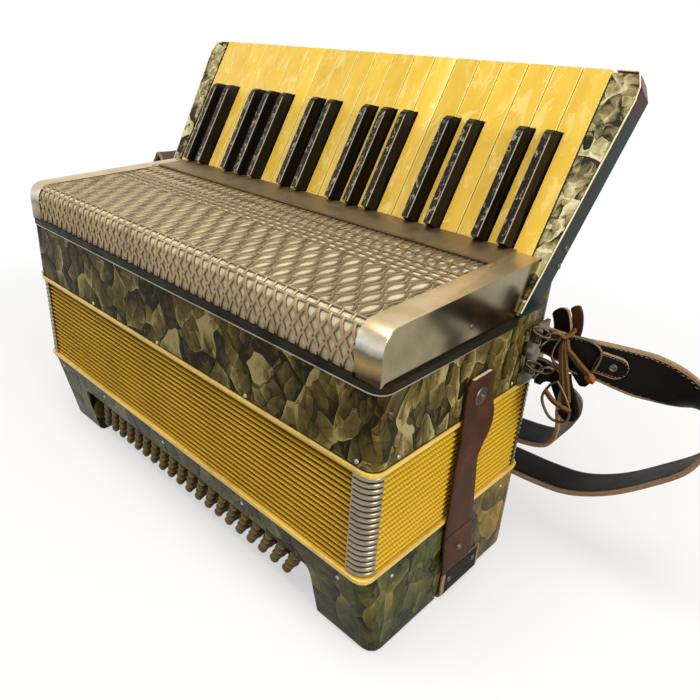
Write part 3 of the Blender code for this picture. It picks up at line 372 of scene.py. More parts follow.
# Laces: width and places
LACES = (
    (
        0.0030,
        (
            (0.0150, -0.001, 0.0060),
            (0.0159, -0.004, 0.0010),
            (0.0168, -0.004, -0.0055),
            (0.0192, -0.004, -0.0153),
            (0.0215, -0.004, -0.0237),
            (0.0242, -0.004, -0.0320),
            (0.0264, -0.004, -0.0382),
        ),
    ),
    (
        0.0028,
        (
            (0.0160, -0.001, 0.0065),
            (0.0175, -0.0035, 0.0016),
            (0.0191, -0.0035, -0.0045),
            (0.0218, -0.0035, -0.0142),
            (0.0244, -0.0035, -0.0224),
            (0.0268, -0.0035, -0.0308),
            (0.0283, -0.0035, -0.0365),
        ),
    ),
    (
        0.0044,
        (
            (0.0165, -0.001, 0.0060),
            (0.0195, -0.003, 0.0002),
            (0.0237, -0.0025, -0.0031),
            (0.0279, -0.001, -0.0074),
            (0.0321, 0.001, -0.0117),
            (0.0355, 0.003, -0.0156),
        ),
    ),
    (
        0.0034,
        (
            (0.0126, -0.008, -0.0321),
            (0.0197, -0.008, -0.0377),
            (0.0274, -0.008, -0.0397),
            (0.0325, -0.007, -0.0405),
        ),
    ),
    (
        0.0050,
        (
            (0.0060, -0.004, 0.0085),
            (0.0110, -0.005, 0.0095),
            (0.0150, -0.003, 0.0078),
            (0.0175, 0.002, 0.0100),
            (0.0170, 0.006, 0.0110),
        ),
    ),
)
LACE_LEAN = (0.8, -0.3, 0.5)
LACE_BODY = 0.0022
LACE_END = ((0.0348, 0.0026, -0.0150), (0.0365, 0.004, -0.0180), (0.0372, 0.005, -0.0200))
LACE_END_WIDTHS = (0.0050, 0.0054, 0.0052, 0.0056, 0.0050, 0.0046, 0.0030)
LACE_END_BODY = 0.0036


def linear(code):
    """Turns a screen colour such as #F2CB5A into scene values."""
    values = [int(code[i : i + 2], 16) / 255 for i in (1, 3, 5)]
    return [c / 12.92 if c <= 0.04045 else ((c + 0.055) / 1.055) ** 2.4 for c in values]


def tuned(colour, factor):
    """A colour made darker or lighter."""
    return tuple(min(1.0, c * factor) for c in colour)


def colour_prop(name, description, code):
    """A colour that the user may change."""
    return FloatVectorProperty(
        name=name,
        description=description,
        default=linear(code),
        min=0,
        max=1,
        size=3,
        subtype="COLOR",
    )


def length_prop(name, description, default, low, high):
    """A length that the user may change."""
    return FloatProperty(
        name=name,
        description=description,
        default=default,
        min=low,
        max=high,
        unit="LENGTH",
        subtype="DISTANCE",
        precision=4,
    )


class AccordionSizes(bpy.types.PropertyGroup):
    """Sizes of the pieces that the frame leaves open."""

    bellows_folds: IntProperty(
        name="Bellows folds",
        description="Number of folds in the bellows",
        default=18,
        min=6,
        max=30,
    )
    fold_depth: length_prop("Fold depth", "How deep the bellows' folds are", 0.0046, 0.001, 0.01)
    cap_front: length_prop("Cap on front", "Reach of a cap along the front", 0.0135, 0.005, 0.03)
    cap_side: length_prop("Cap on side", "Reach of a cap along the end", 0.0095, 0.005, 0.03)
    wire: length_prop("Grille bar", "Half the width of a bar of the grille", 0.0011, 0.0003, 0.003)
    end_plate: length_prop("End plate", "Width of the grille's solid ends", 0.0185, 0.005, 0.04)
    button_radius: length_prop("Button radius", "Radius of a bass button", 0.0044, 0.002, 0.005)
    shard: length_prop("Pearl shard", "Size of one shard of the pearloid", 0.024, 0.004, 0.05)


class AccordionColours(bpy.types.PropertyGroup):
    """Colours of the accordion's finishes."""

    treble_dark: colour_prop("Treble pearl dark", "Darkest tone of the treble casing", "#272110")
    treble_mid: colour_prop("Treble pearl", "Middle tone of the treble casing", "#524722")
    treble_light: colour_prop("Treble pearl light", "Bright shards of the treble casing", "#958a5a")
    bass_dark: colour_prop("Bass pearl dark", "Darkest tone of the bass casing", "#141a0e")
    bass_mid: colour_prop("Bass pearl", "Middle tone of the bass casing", "#40421c")
    bass_light: colour_prop("Bass pearl light", "Bright shards of the bass casing", "#6e6c3e")
    key: colour_prop("White key", "Yellowed pearl of the white keys", "#e9c247")
    # White key light is painted as highlights: the pearl's brightest wisps and the line along each
    # key's edges
    key_light: colour_prop("White key light", "Pearl streaks of the white keys", "#fae392")
    key_dark: colour_prop("White key shade", "Darker streaks of the white keys", "#e1b63d")
    black_key: colour_prop("Black key", "Body of the black keys", "#100e0b")
    # Black key top is the silver pearl, and lightened, the painted highlight along the keys' top
    # edges
    black_pearl: colour_prop("Black key top", "Silver pearl on the black keys", "#8f8672")
    cloth: colour_prop("Bellows cloth", "Cloth of the bellows", "#dcae2c")
    # Bellows shade is the painted shade in the folds and between beads and ribs, and the colour of
    # the dark threads
    cloth_dark: colour_prop("Bellows shade", "Cloth deep in the folds", "#4a3305")
    binding: colour_prop("Binding", "Celluloid strips round the casings", "#eac24e")
    metal: colour_prop("Grille metal", "Plated metal of the grille", "#9a8768")
    plate: colour_prop("End plate metal", "Metal of the grille's solid ends", "#8a8064")
    rim: colour_prop("Rim", "Dark band under the grille", "#2c261c")
    backing: colour_prop("Backing", "Cloth behind the grille", "#efe2bf")
    nickel: colour_prop("Nickel", "Plated pins and axle", "#9d978a")
    brown: colour_prop("Brown leather", "Leather of the bellows strap", "#442918")
    black: colour_prop("Black leather", "Grain side of the shoulder straps", "#120e0b")
    suede: colour_prop("Suede", "Flesh side of the straps", "#64564a")
    tan: colour_prop("Cut edge", "Cut edges of the leather", "#a08468")
    rawhide: colour_prop("Rawhide", "Lace that ties the straps", "#5a4226")
    button: colour_prop("Button", "Bass buttons", "#6b5620")
    wood: colour_prop("Wood", "Boards and levers", "#6a4426")
    floor: colour_prop("Floor", "Floor and backdrop", "#f4f3f0")


# Shader node helpers


class Out:
    """A node's output; sums with it become Math nodes."""

    def __init__(self, socket):
        self.socket = socket
        self.tree = socket.id_data

    def __add__(self, other):
        return maths("ADD", self, other)

    def __sub__(self, other):
        return maths("SUBTRACT", self, other)

    def __rsub__(self, other):
        return maths("SUBTRACT", other, self)

    def __mul__(self, other):
        return maths("MULTIPLY", self, other)


def feed(target, value):
    """Links or sets an input: value is an output, a number, a vector or a colour."""
    if isinstance(value, Out):
        value.tree.links.new(value.socket, target)
    elif target.type == "RGBA" and len(value) == 3:
        target.default_value = (*value, 1)
    else:
        target.default_value = value


def add(tree, kind, inputs=(), **values):
    """Adds a node with its attributes, feeds its inputs and returns its outputs by name."""
    node = tree.nodes.new(kind)
    for key, value in values.items():
        setattr(node, key, value)
    for key, value in dict(inputs).items():
        feed(node.inputs[key], value)
    return {socket.name: Out(socket) for socket in node.outputs if socket.enabled}


def tree_of(inputs):
    """The tree that a node's inputs come from."""
    return next(value.tree for value in inputs if isinstance(value, Out))


def maths(operation, *inputs, clamp=False):
    """One Math node; inputs are outputs or numbers."""
    return add(
        tree_of(inputs), "ShaderNodeMath", enumerate(inputs), operation=operation, use_clamp=clamp
    )["Value"]


def vector_maths(operation, *inputs):
    """One Vector Math node; inputs are outputs or vectors."""
    tree = tree_of(inputs)
    made = add(tree, "ShaderNodeVectorMath", enumerate(inputs), operation=operation)
    return made["Value" if operation == "DOT_PRODUCT" else "Vector"]


def scaled(vector, factor):
    """A vector times a number or an output."""
    inputs = {0: vector, "Scale": factor}
    return add(vector.tree, "ShaderNodeVectorMath", inputs, operation="SCALE")["Vector"]


def split(vector):
    """The three parts of a vector."""
    return list(add(vector.tree, "ShaderNodeSeparateXYZ", {0: vector}).values())


def stretched(vector, scale, rotation=(0, 0, 0)):
    """A vector turned and stretched."""
    inputs = {"Vector": vector, "Rotation": rotation, "Scale": scale}
    return add(vector.tree, "ShaderNodeMapping", inputs)["Vector"]


def noise(vector, scale, detail=2.0, roughness=0.5, distortion=0.0, output="Fac"):
    """Noise texture on a vector."""
    inputs = {
        "Vector": vector,
        "Scale": scale,
        "Detail": detail,
        "Roughness": roughness,
        "Distortion": distortion,
    }
    return add(vector.tree, "ShaderNodeTexNoise", inputs)[output]


def remap(value, from_low, from_high, to_low=0.0, to_high=1.0):
    """Map Range node, clamped."""
    inputs = {
        "Value": value,
        "From Min": from_low,
        "From Max": from_high,
        "To Min": to_low,
        "To Max": to_high,
    }
    return add(value.tree, "ShaderNodeMapRange", inputs)["Result"]


def ramp(value, *stops):
    """Colour ramp over a value: stops are (place, colour)."""
    node = value.tree.nodes.new("ShaderNodeValToRGB")
    band = node.color_ramp
    while len(band.elements) < len(stops):
        band.elements.new(0.5)
    for element, (place, colour) in zip(band.elements, stops):
        element.position = place
        element.color = (*colour, 1)
    feed(node.inputs[0], value)
    return Out(node.outputs["Color"])


def tones(value, colour, *stops):
    """Colour ramp of one colour: stops are (place, factor)."""
    return ramp(value, *((place, tuned(colour, factor)) for place, factor in stops))


def mix(factor, first, second, kind="MIX"):
    """Mixes two colours; each is an output or a colour."""
    node = tree_of((factor, first, second)).nodes.new("ShaderNodeMix")
    node.data_type = "RGBA"
    node.blend_type = kind
    for i, value in ((0, factor), (6, first), (7, second)):
        feed(node.inputs[i], value)
    return Out(node.outputs[2])


def voronoi(vector, scale, feature, output):
    """Voronoi texture on a vector."""
    inputs = {"Vector": vector, "Scale": scale}
    return add(vector.tree, "ShaderNodeTexVoronoi", inputs, feature=feature)[output]


def attribute(tree, name):
    """A float that the mesh carries."""
    return add(tree, "ShaderNodeAttribute", attribute_name=name)["Fac"]


def new_group(name, inputs, *outputs):
    """A node group with a vector, float inputs and float outputs; returns its two ends."""
    group = bpy.data.node_groups.new(name, "ShaderNodeTree")
    group.interface.new_socket(name="Vector", in_out="INPUT", socket_type="NodeSocketVector")
    for label, default in inputs.items():
        made = group.interface.new_socket(name=label, in_out="INPUT", socket_type="NodeSocketFloat")
        made.default_value = default
    for label in outputs:
        group.interface.new_socket(name=label, in_out="OUTPUT", socket_type="NodeSocketFloat")
    enter = group.nodes.new("NodeGroupInput")
    leave = group.nodes.new("NodeGroupOutput")
    return {socket.name: Out(socket) for socket in enter.outputs if socket.name}, leave.inputs


def build_pearl_group():
    """Crumpled pearl: silky shards, each with painted light across its own slope, with painted
    shade in the creases between.
    """
    enter, leave = new_group(
        "pearl_shards", {"Scale": 60.0, "Warp": 0.35, "Seed": 0.0}, "Shade", "Crease_shade", "Swirl"
    )
    shift = add(enter["Seed"].tree, "ShaderNodeCombineXYZ", {0: enter["Seed"]})["Vector"]
    place = vector_maths("ADD", scaled(enter["Vector"], enter["Scale"]), shift)
    wobble = vector_maths("SUBTRACT", noise(place, 0.8, output="Color"), (0.5, 0.5, 0.5))
    place = vector_maths("ADD", place, scaled(wobble, enter["Warp"]))
    large, painted_shade_line, painted_highlight_line = shards(place, CELL_SCALE)
    beside = vector_maths("ADD", place, (3.7, 1.9, 5.3))
    small, small_painted_shade, small_painted_highlight = shards(beside, CELL_SCALE * SMALL_SHARDS)
    silk = noise(place, 2.6, 3.0, 0.5, 2.2) - 0.5
    broad = noise(place, 0.5, 1.5) - 0.5
    shade = maths("MULTIPLY_ADD", small, 0.4, large)
    for layer, weight in ((silk, 1.1), (broad, 0.35), (painted_highlight_line, 0.36), (small_painted_highlight, 0.22)):
        shade = maths("MULTIPLY_ADD", layer, weight, shade)
    feed(leave["Shade"], maths("MULTIPLY_ADD", shade, 0.85, MIDDLE_SHADE))
    # The crease output holds painted shade lines along the shaded edges of the shards
    feed(leave["Crease_shade"], maths("MULTIPLY_ADD", small_painted_shade, 0.5, painted_shade_line, clamp=True))
    feed(leave["Swirl"], maths("MULTIPLY_ADD", silk, 0.6, large))


def shards(place, scale):
    """One size of shards: their painted shade round 0, and the painted shade and highlight lines at
    their edges.
    """
    cells = add(place.tree, "ShaderNodeTexVoronoi", {"Vector": place, "Scale": scale}, feature="F1")
    # Painted light: each shard is painted brighter on one side and darker on the other, across its
    # own slope
    slope = vector_maths("SUBTRACT", cells["Color"], (0.5, 0.5, 0.5))
    away = vector_maths("SUBTRACT", place, cells["Position"])
    lean = vector_maths("DOT_PRODUCT", away, slope) * scale
    reach = voronoi(place, scale, "DISTANCE_TO_EDGE", "Distance")
    # The painted shading grows stronger near each shard's edge
    gain = maths("MULTIPLY_ADD", remap(reach, 0.0, 0.2, 1.0, 0.0), 1.9, 1.7)
    level = add(place.tree, "ShaderNodeSeparateColor", {0: cells["Color"]})["Green"]
    shade = maths("MULTIPLY_ADD", lean, gain, (level - 0.5) * 0.14)
    # Thin painted highlight lines on the lit side of a shard's edge, painted shade lines on its
    # shaded side
    thin = remap(reach, 0.004, 0.035, 1.0, 0.0)
    return shade, thin * remap(lean, -0.14, -0.02, 1.0, 0.0), thin * remap(lean, 0.02, 0.14)


def build_wear_group():
    """Scuffs, fine scratches and dust that lies on what faces up."""
    enter, leave = new_group("wear", {"Amount": 0.5, "Scale": 1.0}, "Scuff", "Scratch", "Dust")
    amount = enter["Amount"]
    place = scaled(enter["Vector"], enter["Scale"])
    patches = maths("SMOOTH_MIN", noise(place, 38.0, 5.0, 0.65), 1.0, 0.1)
    feed(leave["Scuff"], remap(patches, 0.5, 0.8) * amount)
    fine = noise(stretched(place, (40.0, 900.0, 700.0), (0.4, 0.7, 0.5)), 1.0)
    feed(leave["Scratch"], maths("GREATER_THAN", fine, 0.69) * amount)
    normal = add(amount.tree, "ShaderNodeNewGeometry")["Normal"]
    up = maths("MAXIMUM", vector_maths("DOT_PRODUCT", normal, (0, 0, 1)), 0.0)
    feed(leave["Dust"], up * noise(place, 260.0, 3.0, 0.7) * amount)


def build_grain_group():
    """Pebbled grain of leather or cloth, as a height and a tone."""
    enter, leave = new_group("hide_grain", {"Scale": 900.0}, "Height", "Tone")
    cells = voronoi(enter["Vector"], enter["Scale"], "SMOOTH_F1", "Distance")
    feed(leave["Height"], cells + noise(enter["Vector"], 190.0, 4.0, 0.6, 0.4) * 0.8)
    feed(leave["Tone"], noise(enter["Vector"], 55.0, 5.0, 0.6))


def build_wood_group():
    """Rings and pores of wood, drawn out along X."""
    enter, leave = new_group("wood_grain", {"Scale": 1.0}, "Tone", "Pore")
    place = stretched(enter["Vector"], (6.0, 90.0, 90.0))
    inputs = {"Vector": place, "Scale": enter["Scale"], "Distortion": 5.0, "Detail": 3.0}
    kind = {"wave_type": "BANDS", "bands_direction": "Z"}
    feed(leave["Tone"], add(place.tree, "ShaderNodeTexWave", inputs, **kind)["Fac"])
    feed(leave["Pore"], noise(place, 9.0, 3.0))


def place_group(name, vector, **values):
    """Puts a shared effect into a material with its own values; returns its outputs."""
    inputs = {"Vector": vector, **values}
    return add(vector.tree, "ShaderNodeGroup", inputs.items(), node_tree=bpy.data.node_groups[name])


class Finish:
    """A material in the making, with its shader's inputs, its Object coordinates and its normal."""

    def __init__(self, name, roughness=0.5, metallic=0.0, specular=0.5, coat=(0.0, 0.1)):
        self.material = bpy.data.materials.new(name)
        self.material.use_nodes = True
        self.tree = self.material.node_tree
        self.shader = self.tree.nodes["Principled BSDF"].inputs
        self.shader["Roughness"].default_value = roughness
        self.shader["Metallic"].default_value = metallic
        self.shader["Specular IOR Level"].default_value = specular
        self.shader["Coat Weight"].default_value, self.shader["Coat Roughness"].default_value = coat
        places = add(self.tree, "ShaderNodeTexCoord")
        self.coords, self.facing = places["Object"], places["Normal"]

    def done(self, colour, height, distance, strength, roughness=None, metallic=None):
        """Feeds the shader and returns the material."""
        bump = {"Strength": strength, "Distance": distance, "Height": height}
        normal = add(self.tree, "ShaderNodeBump", bump)["Normal"]
        for key, value in (
            ("Base Color", colour),
            ("Normal", normal),
            ("Roughness", roughness),
            ("Metallic", metallic),
        ):
            if value is not None:
                feed(self.shader[key], value)
        return self.material



# Finishes


def key_way(skin, way):
    """How far a point lies from the keyboard's start along one of its ways."""
    return vector_maths("DOT_PRODUCT", vector_maths("SUBTRACT", skin.coords, KEY_START), way)


def lever_wood(skin, colour):
    """Wood of the keys' levers."""
    grain = place_group("wood_grain", skin.coords, Scale=1.4)
    return tones(grain["Tone"], colour, (0.0, 0.8), (1.0, 1.9))


def pearloid_finish(name, tints, shard, seed=0.0, contrast=0.62, warm=None):
    """Celluloid with folds of pearl; a warm tint lies in patches at the back and near corner."""
    dark, mid, light = tints
    skin = Finish(name, 0.3, specular=0.03)
    place = stretched(skin.coords, (0.95, 1.1, 0.72), (0.5, 0.6, 0.35))
    pearl = place_group("pearl_shards", place, Scale=1 / shard, Warp=0.65, Seed=seed)
    # The pearl's tones follow the painted shading of each shard
    shade = maths("MULTIPLY_ADD", pearl["Shade"] - MIDDLE_SHADE, contrast, MIDDLE_SHADE)
    bright = ((0.60, tuned(mid, 1.7)), (0.86, light), (1.0, tuned(light, 1.2)))
    colour = ramp(shade, (0.12, dark), (0.40, mid), *bright)
    if warm is not None:
        x, y, z = split(skin.coords)
        patch = remap(noise(skin.coords, 16.0, 3.0), 0.47, 0.62)
        far_back = remap(y, FRONT + 0.10, BACK)
        corner = remap(x + y * -1.0, 0.27, 0.33)
        near_end = maths("MAXIMUM", far_back * 0.9, corner * 0.35)
        share = patch * maths("MAXIMUM", near_end, 0.12)
        amber = tones(shade, warm, (0.2, 0.35), (0.5, 0.9), (0.8, 1.5))
        colour = mix(share * 0.9, colour, amber)
        colour = mix(remap(z, 0.0, 0.022, 0.45, 0.0), colour, linear("#1f2f20"))
    # Painted shade along the shaded edges of the shards, in the pearl's creases
    colour = mix(pearl["Crease_shade"] * 0.75, colour, tuned(dark, 0.6))
    wear = place_group("wear", skin.coords, Amount=0.45, Scale=1.0)
    colour = mix(wear["Dust"] * 0.12, colour, tuned(light, 0.9))
    height = pearl["Swirl"] - pearl["Crease_shade"] * 0.6 + wear["Scratch"] * -0.2
    return skin.done(colour, height, 0.0006, 0.5, remap(wear["Scuff"], 0.0, 0.5, 0.2, 0.4))


def white_key_finish(c):
    """Yellowed pearl with wisps painted as highlights, a little different on each key, with a
    painted highlight along the edges; levers of wood.
    """
    skin = Finish("white_key_pearl", 0.28, specular=0.25, coat=(0.06, 0.08))
    x = split(skin.coords)[0]
    number = maths("FLOOR", maths("DIVIDE", x, KEY_PITCH))
    own = add(skin.tree, "ShaderNodeTexWhiteNoise", {"W": number}, noise_dimensions="1D")["Value"]
    offset = add(skin.tree, "ShaderNodeCombineXYZ", {1: number})["Vector"]
    moved = vector_maths("ADD", stretched(skin.coords, (1, 1, 1), (-KEY_TILT, 0, 0)), offset)
    place = stretched(moved, (1.0, 0.38, 1.0), (0, 0, 0.45))
    pearl = place_group("pearl_shards", place, Scale=75.0, Warp=1.6, Seed=3.0)
    clouds = noise(place, 60.0, 4.0, 0.55, 0.6)
    tops = ramp(clouds, (0.3, c.key_dark), (0.55, c.key), (0.8, tuned(c.key, 1.04)))
    # Pearl wisps, painted as highlights where the pearl's painted shading is brightest
    tops = mix(remap(pearl["Shade"], 0.62, 0.95, 0.0, 0.45), tops, c.key_light)
    tone = remap(own, 0.0, 1.0, 0.92, 1.04)
    grey = add(skin.tree, "ShaderNodeCombineColor", {0: tone, 1: tone, 2: tone})["Color"]
    tops = mix(1.0, tops, grey, "MULTIPLY")
    # Painted highlight: a pale line along both edges of each key
    rim = remap(maths("PINGPONG", x + HALF_KEYS, KEY_PITCH / 2), 0.0006, 0.0014, 0.65, 0.0)
    tops = mix(rim, tops, tuned(c.key_light, 1.15))
    pearly = remap(key_way(skin, KEY_OUT), -0.0034, -0.0030)
    wear = place_group("wear", skin.coords, Amount=0.5, Scale=1.6)
    grimy = mix(wear["Scuff"] * 0.25, tops, c.key_dark)
    colour = mix(pearly, lever_wood(skin, c.wood), grimy)
    return skin.done(colour, pearl["Swirl"], 0.0001, 0.2, remap(wear["Scuff"], 0.0, 0.5, 0.22, 0.4))


def black_key_finish(c):
    """Black sides under a top of dark silver pearl with a painted highlight along its rounded
    edges; levers of wood.
    """
    skin = Finish("black_key_pearl", 0.3, specular=0.15)
    place = stretched(skin.coords, (1.5, 0.28, 1.0), (-KEY_TILT, 0, 0))
    pearl = place_group("pearl_shards", place, Scale=150.0, Warp=1.2, Seed=8.0)
    silver = [(at, tuned(c.black_pearl, k)) for at, k in ((0.74, 0.12), (0.90, 0.5), (1.0, 1.1))]
    silver = ramp(pearl["Shade"], (0.52, tuned(c.black_key, 1.5)), *silver)
    rise = key_way(skin, KEY_OUT)
    top = remap(rise, BLACK_RISE - 0.0010, BLACK_RISE - 0.0007)
    flat = vector_maths("DOT_PRODUCT", skin.facing, KEY_OUT)
    # Painted highlight along the rounded edges of the key's top
    edge = top * remap(flat, 0.9, 0.97, 1.0, 0.0)
    colour = mix(edge * 0.75, mix(top, c.black_key, silver), tuned(c.black_pearl, 1.9))
    colour = mix(remap(rise, -0.0095, -0.0091), lever_wood(skin, c.wood), colour)
    return skin.done(colour, pearl["Swirl"], 0.0002, 0.25)


def binding_finish(c):
    """Yellow celluloid strip with fine streaks."""
    skin = Finish("binding_celluloid", 0.32, coat=(0.35, 0.1))
    streak = noise(stretched(skin.coords, (12.0, 12.0, 500.0)), 1.0, 3.0)
    tone = tones(streak, c.binding, (0.3, 0.72), (0.6, 1.0), (0.9, 1.2))
    wear = place_group("wear", skin.coords, Amount=0.8, Scale=2.0)
    return skin.done(mix(wear["Scuff"], tone, tuned(c.binding, 0.4)), streak, 0.0002, 0.3)


def cloth_finish(c):
    """Bellows cloth: raised beads on the ends, ribs on front and back, painted light on the ends,
    and painted shade deep in the folds and between beads and ribs.
    """
    skin = Finish("bellows_cloth", 0.6, specular=0.2)
    x, y, _ = split(skin.coords)
    end = maths("ABSOLUTE", x)
    on_end = remap(end, HALF - 0.0095, HALF - 0.0085)
    beads = remap(maths("PINGPONG", y, 0.0014), 0.0001, 0.0011)
    ribs = remap(maths("PINGPONG", x, 0.0010), 0.0001, 0.0009)
    threads = noise(skin.coords, 1500.0)
    base = tones(noise(skin.coords, 22.0, 4.0), c.cloth, (0.3, 0.86), (0.55, 1.0), (0.8, 1.1))
    # Painted light: the cloth on the ends is painted lighter than on the front and back
    base = mix(on_end * 0.6, base, tuned(c.cloth, 1.55))
    side = maths("ABSOLUTE", y - (FRONT + BACK) / 2) - ((BACK - FRONT) / 2 - BELLOWS_INSET)
    out = maths("MAXIMUM", end - (HALF - BELLOWS_INSET), side)
    # Painted shade deep in the folds, lighter on the ends
    deep = mix(on_end, c.cloth_dark, tuned(c.cloth, 0.55))
    tone = mix(remap(out, -0.0026, -0.0002), deep, base)
    # Painted shade between the raised beads on the ends and the ribs on front and back
    dark = (1.0 - beads) * on_end * 0.30 + (1.0 - ribs) * (1.0 - on_end) * 0.22
    tone = mix(dark, tone, tuned(c.cloth_dark, 1.4))
    colour = mix(remap(threads, 0.5, 0.75, 0.0, 0.2), tone, c.cloth_dark)
    return skin.done(colour, threads * 0.25 - dark, 0.0009, 0.8)


def metal_finish(name, colour, roughness, worn, tarnish, edged=0.0):
    """Plated metal with brushing, tarnish and scratches; "side" may mark where shade is painted
    darker.
    """
    skin = Finish(name, roughness, 1.0)
    brushed = noise(stretched(skin.coords, (14.0, 420.0, 420.0)), 1.0, 3.0)
    stains = noise(skin.coords, 46.0, 5.0, 0.65)
    tone = ramp(stains, (0.32, tuned(colour, 1.15)), (0.55, colour), (0.78, tarnish))
    wear = place_group("wear", skin.coords, Amount=worn, Scale=1.5)
    tone = mix(wear["Scratch"] * 0.4, tone, tuned(colour, 1.5))
    # Painted shade where the side attribute is high, towards the upper and lower edges of the
    # corner caps
    if edged:
        painted_edge_shade = remap(attribute(skin.tree, "side"), 0.45, 0.95, 0.0, edged)
        tone = mix(painted_edge_shade, tone, tuned(tarnish, 0.25))
    cloudy = remap(stains, 0.3, 0.8, roughness * 0.8, roughness * 1.5)
    return skin.done(tone, brushed, 0.00005, 0.3, cloudy + brushed * 0.08)


def end_plate_finish(c):
    """Mirror sides, a satin top painted lighter as a painted reflection, and a nose with a painted
    reflection that runs from dark below to bright above.
    """
    skin = Finish("end_plate_plating", 0.2, 1.0)
    _, y, z = split(skin.facing)
    up = remap(z, 0.55, 0.97)
    ahead = remap(y, -0.6, -0.2, 1.0, 0.0)
    stains = noise(skin.coords, 40.0, 4.0, 0.6)
    side = tones(stains, c.plate, (0.35, 1.2), (0.6, 0.9))
    # Painted reflection on the nose, by height: dark brown low, then tan, a pale band near the
    # crest
    rise = remap(split(skin.coords)[2], RIM + 0.001, RIM + GRILLE_FRONT_HEIGHT - 0.002)
    nose = ramp(
        maths("MULTIPLY_ADD", stains - 0.5, 0.35, rise),
        (0.05, linear("#3c3226")),
        (0.30, linear("#9a8058")),
        (0.52, linear("#6d6450")),
        (0.72, linear("#dcd8ca")),
        (0.92, linear("#b8a988")),
    )
    # The top is painted lighter than the sides, as a painted reflection
    top = ramp(stains, (0.3, linear("#dcc8a2")), (0.7, linear("#bea881")))
    wear = place_group("wear", skin.coords, Amount=0.5, Scale=1.5)
    tone = mix(up, mix(ahead, side, nose), top)
    tone = mix(wear["Scratch"] * 0.4, tone, tuned(c.plate, 1.8))
    return skin.done(tone, stains, 0.0002, 0.15, remap(up, 0.0, 1.0, 0.17, 0.40))


def bracket_finish(c):
    """Fitting plates lacquered like the casing behind them, with dull studs that stand out."""
    skin = Finish("bracket_lacquer", 0.35, specular=0.15)
    stud = remap(maths("ABSOLUTE", split(skin.coords)[0]), HALF + 0.0030, HALF + 0.0032)
    pearl = place_group("pearl_shards", skin.coords, Scale=75.0, Warp=1.3, Seed=2.0)
    mid, light = tuned(c.treble_mid, 0.8), tuned(c.treble_light, 0.8)
    lacquer = ramp(pearl["Shade"], (0.1, c.treble_dark), (0.4, mid), (0.75, light))
    spots = noise(skin.coords, 120.0, 3.0)
    metal = ramp(spots, (0.3, linear("#4c4234")), (0.7, linear("#7c705c")))
    return skin.done(mix(stud, lacquer, metal), pearl["Swirl"], 0.0003, 0.3, metallic=stud)


def leather_finish(name, colour, under, edge, shine):
    """Grained leather, flesh side and cut edges told apart by an attribute."""
    skin = Finish(name, shine, specular=0.06)
    grain = place_group("hide_grain", skin.coords, Scale=1100.0)
    top = tones(grain["Tone"], colour, (0.3, 0.6), (0.55, 1.0), (0.82, 2.1))
    mark = attribute(skin.tree, "side")
    fuzz = noise(skin.coords, 420.0, 4.0, 0.7)
    back = tones(fuzz, under, (0.3, 0.72), (0.7, 1.15))
    cut = tones(fuzz, edge, (0.3, 0.7), (0.7, 1.1))
    tone = mix(maths("GREATER_THAN", mark, 0.75), top, back)
    tone = mix(maths("COMPARE", mark, 0.5, 0.2), tone, cut)
    rough = mark * 0.35 + remap(grain["Tone"], 0.3, 0.8, shine, shine + 0.2)
    return skin.done(tone, grain["Height"], 0.0005, 0.5, maths("MINIMUM", rough, 0.95))


def plain_finish(name, colour, roughness, variation, scale=60.0):
    """Moulded or painted surface with slight mottling and grain."""
    skin = Finish(name, roughness, specular=0.15)
    mottled = noise(skin.coords, scale, 4.0, 0.6)
    tone = tones(mottled, colour, (0.25, 1 - variation), (0.75, 1 + variation))
    wear = place_group("wear", skin.coords, Amount=0.5, Scale=2.0)
    tone = mix(wear["Dust"] * 0.3, tone, (0.5, 0.47, 0.4))
    return skin.done(tone, noise(skin.coords, scale * 14, 3.0), 0.0003, 0.3)


def wood_finish(name, colour):
    """Plain wood with rings along X."""
    skin = Finish(name, 0.55)
    grain = place_group("wood_grain", skin.coords, Scale=1.2)
    tone = tones(grain["Tone"], colour, (0.0, 0.62), (0.6, 1.0), (1.0, 1.4))
    tone = mix(remap(grain["Pore"], 0.55, 0.7, 0.0, 0.5), tone, tuned(colour, 0.35))
    return skin.done(tone, grain["Pore"], 0.0003, 0.4)


def cheek_side_finish():
    """Near-black teal celluloid that turns maroon towards the top."""
    skin = Finish("cheek_side_celluloid", 0.3, specular=0.08)
    clouds = noise(skin.coords, 45.0, 4.0)
    teal = ramp(clouds, (0.3, linear("#061210")), (0.7, linear("#0f2622")))
    maroon = ramp(clouds, (0.3, linear("#2c0a12")), (0.7, linear("#521624")))
    high = remap(key_way(skin, KEY_ALONG) + clouds * 0.02, 0.155, 0.178)
    return skin.done(mix(high, teal, maroon), noise(skin.coords, 400.0, 3.0), 0.0002, 0.2)


def backing_finish(c):
    """Pale loose-woven cloth behind the grille."""
    skin = Finish("grille_cloth_weave", 0.9)
    inputs = {"Vector": skin.coords, "Scale": 420.0}
    warp, weft = (
        add(skin.tree, "ShaderNodeTexWave", inputs, wave_type="BANDS", bands_direction=way)["Fac"]
        for way in "XY"
    )
    woven = warp * weft
    tone = tones(noise(skin.coords, 30.0, 4.0), c.backing, (0.3, 0.7), (0.6, 1.0))
    tone = mix(remap(woven, 0.0, 0.6, 0.25, 0.0), tone, tuned(c.backing, 0.4))
    return skin.done(tone, woven, 0.0003, 0.5)


MATERIALS = {}


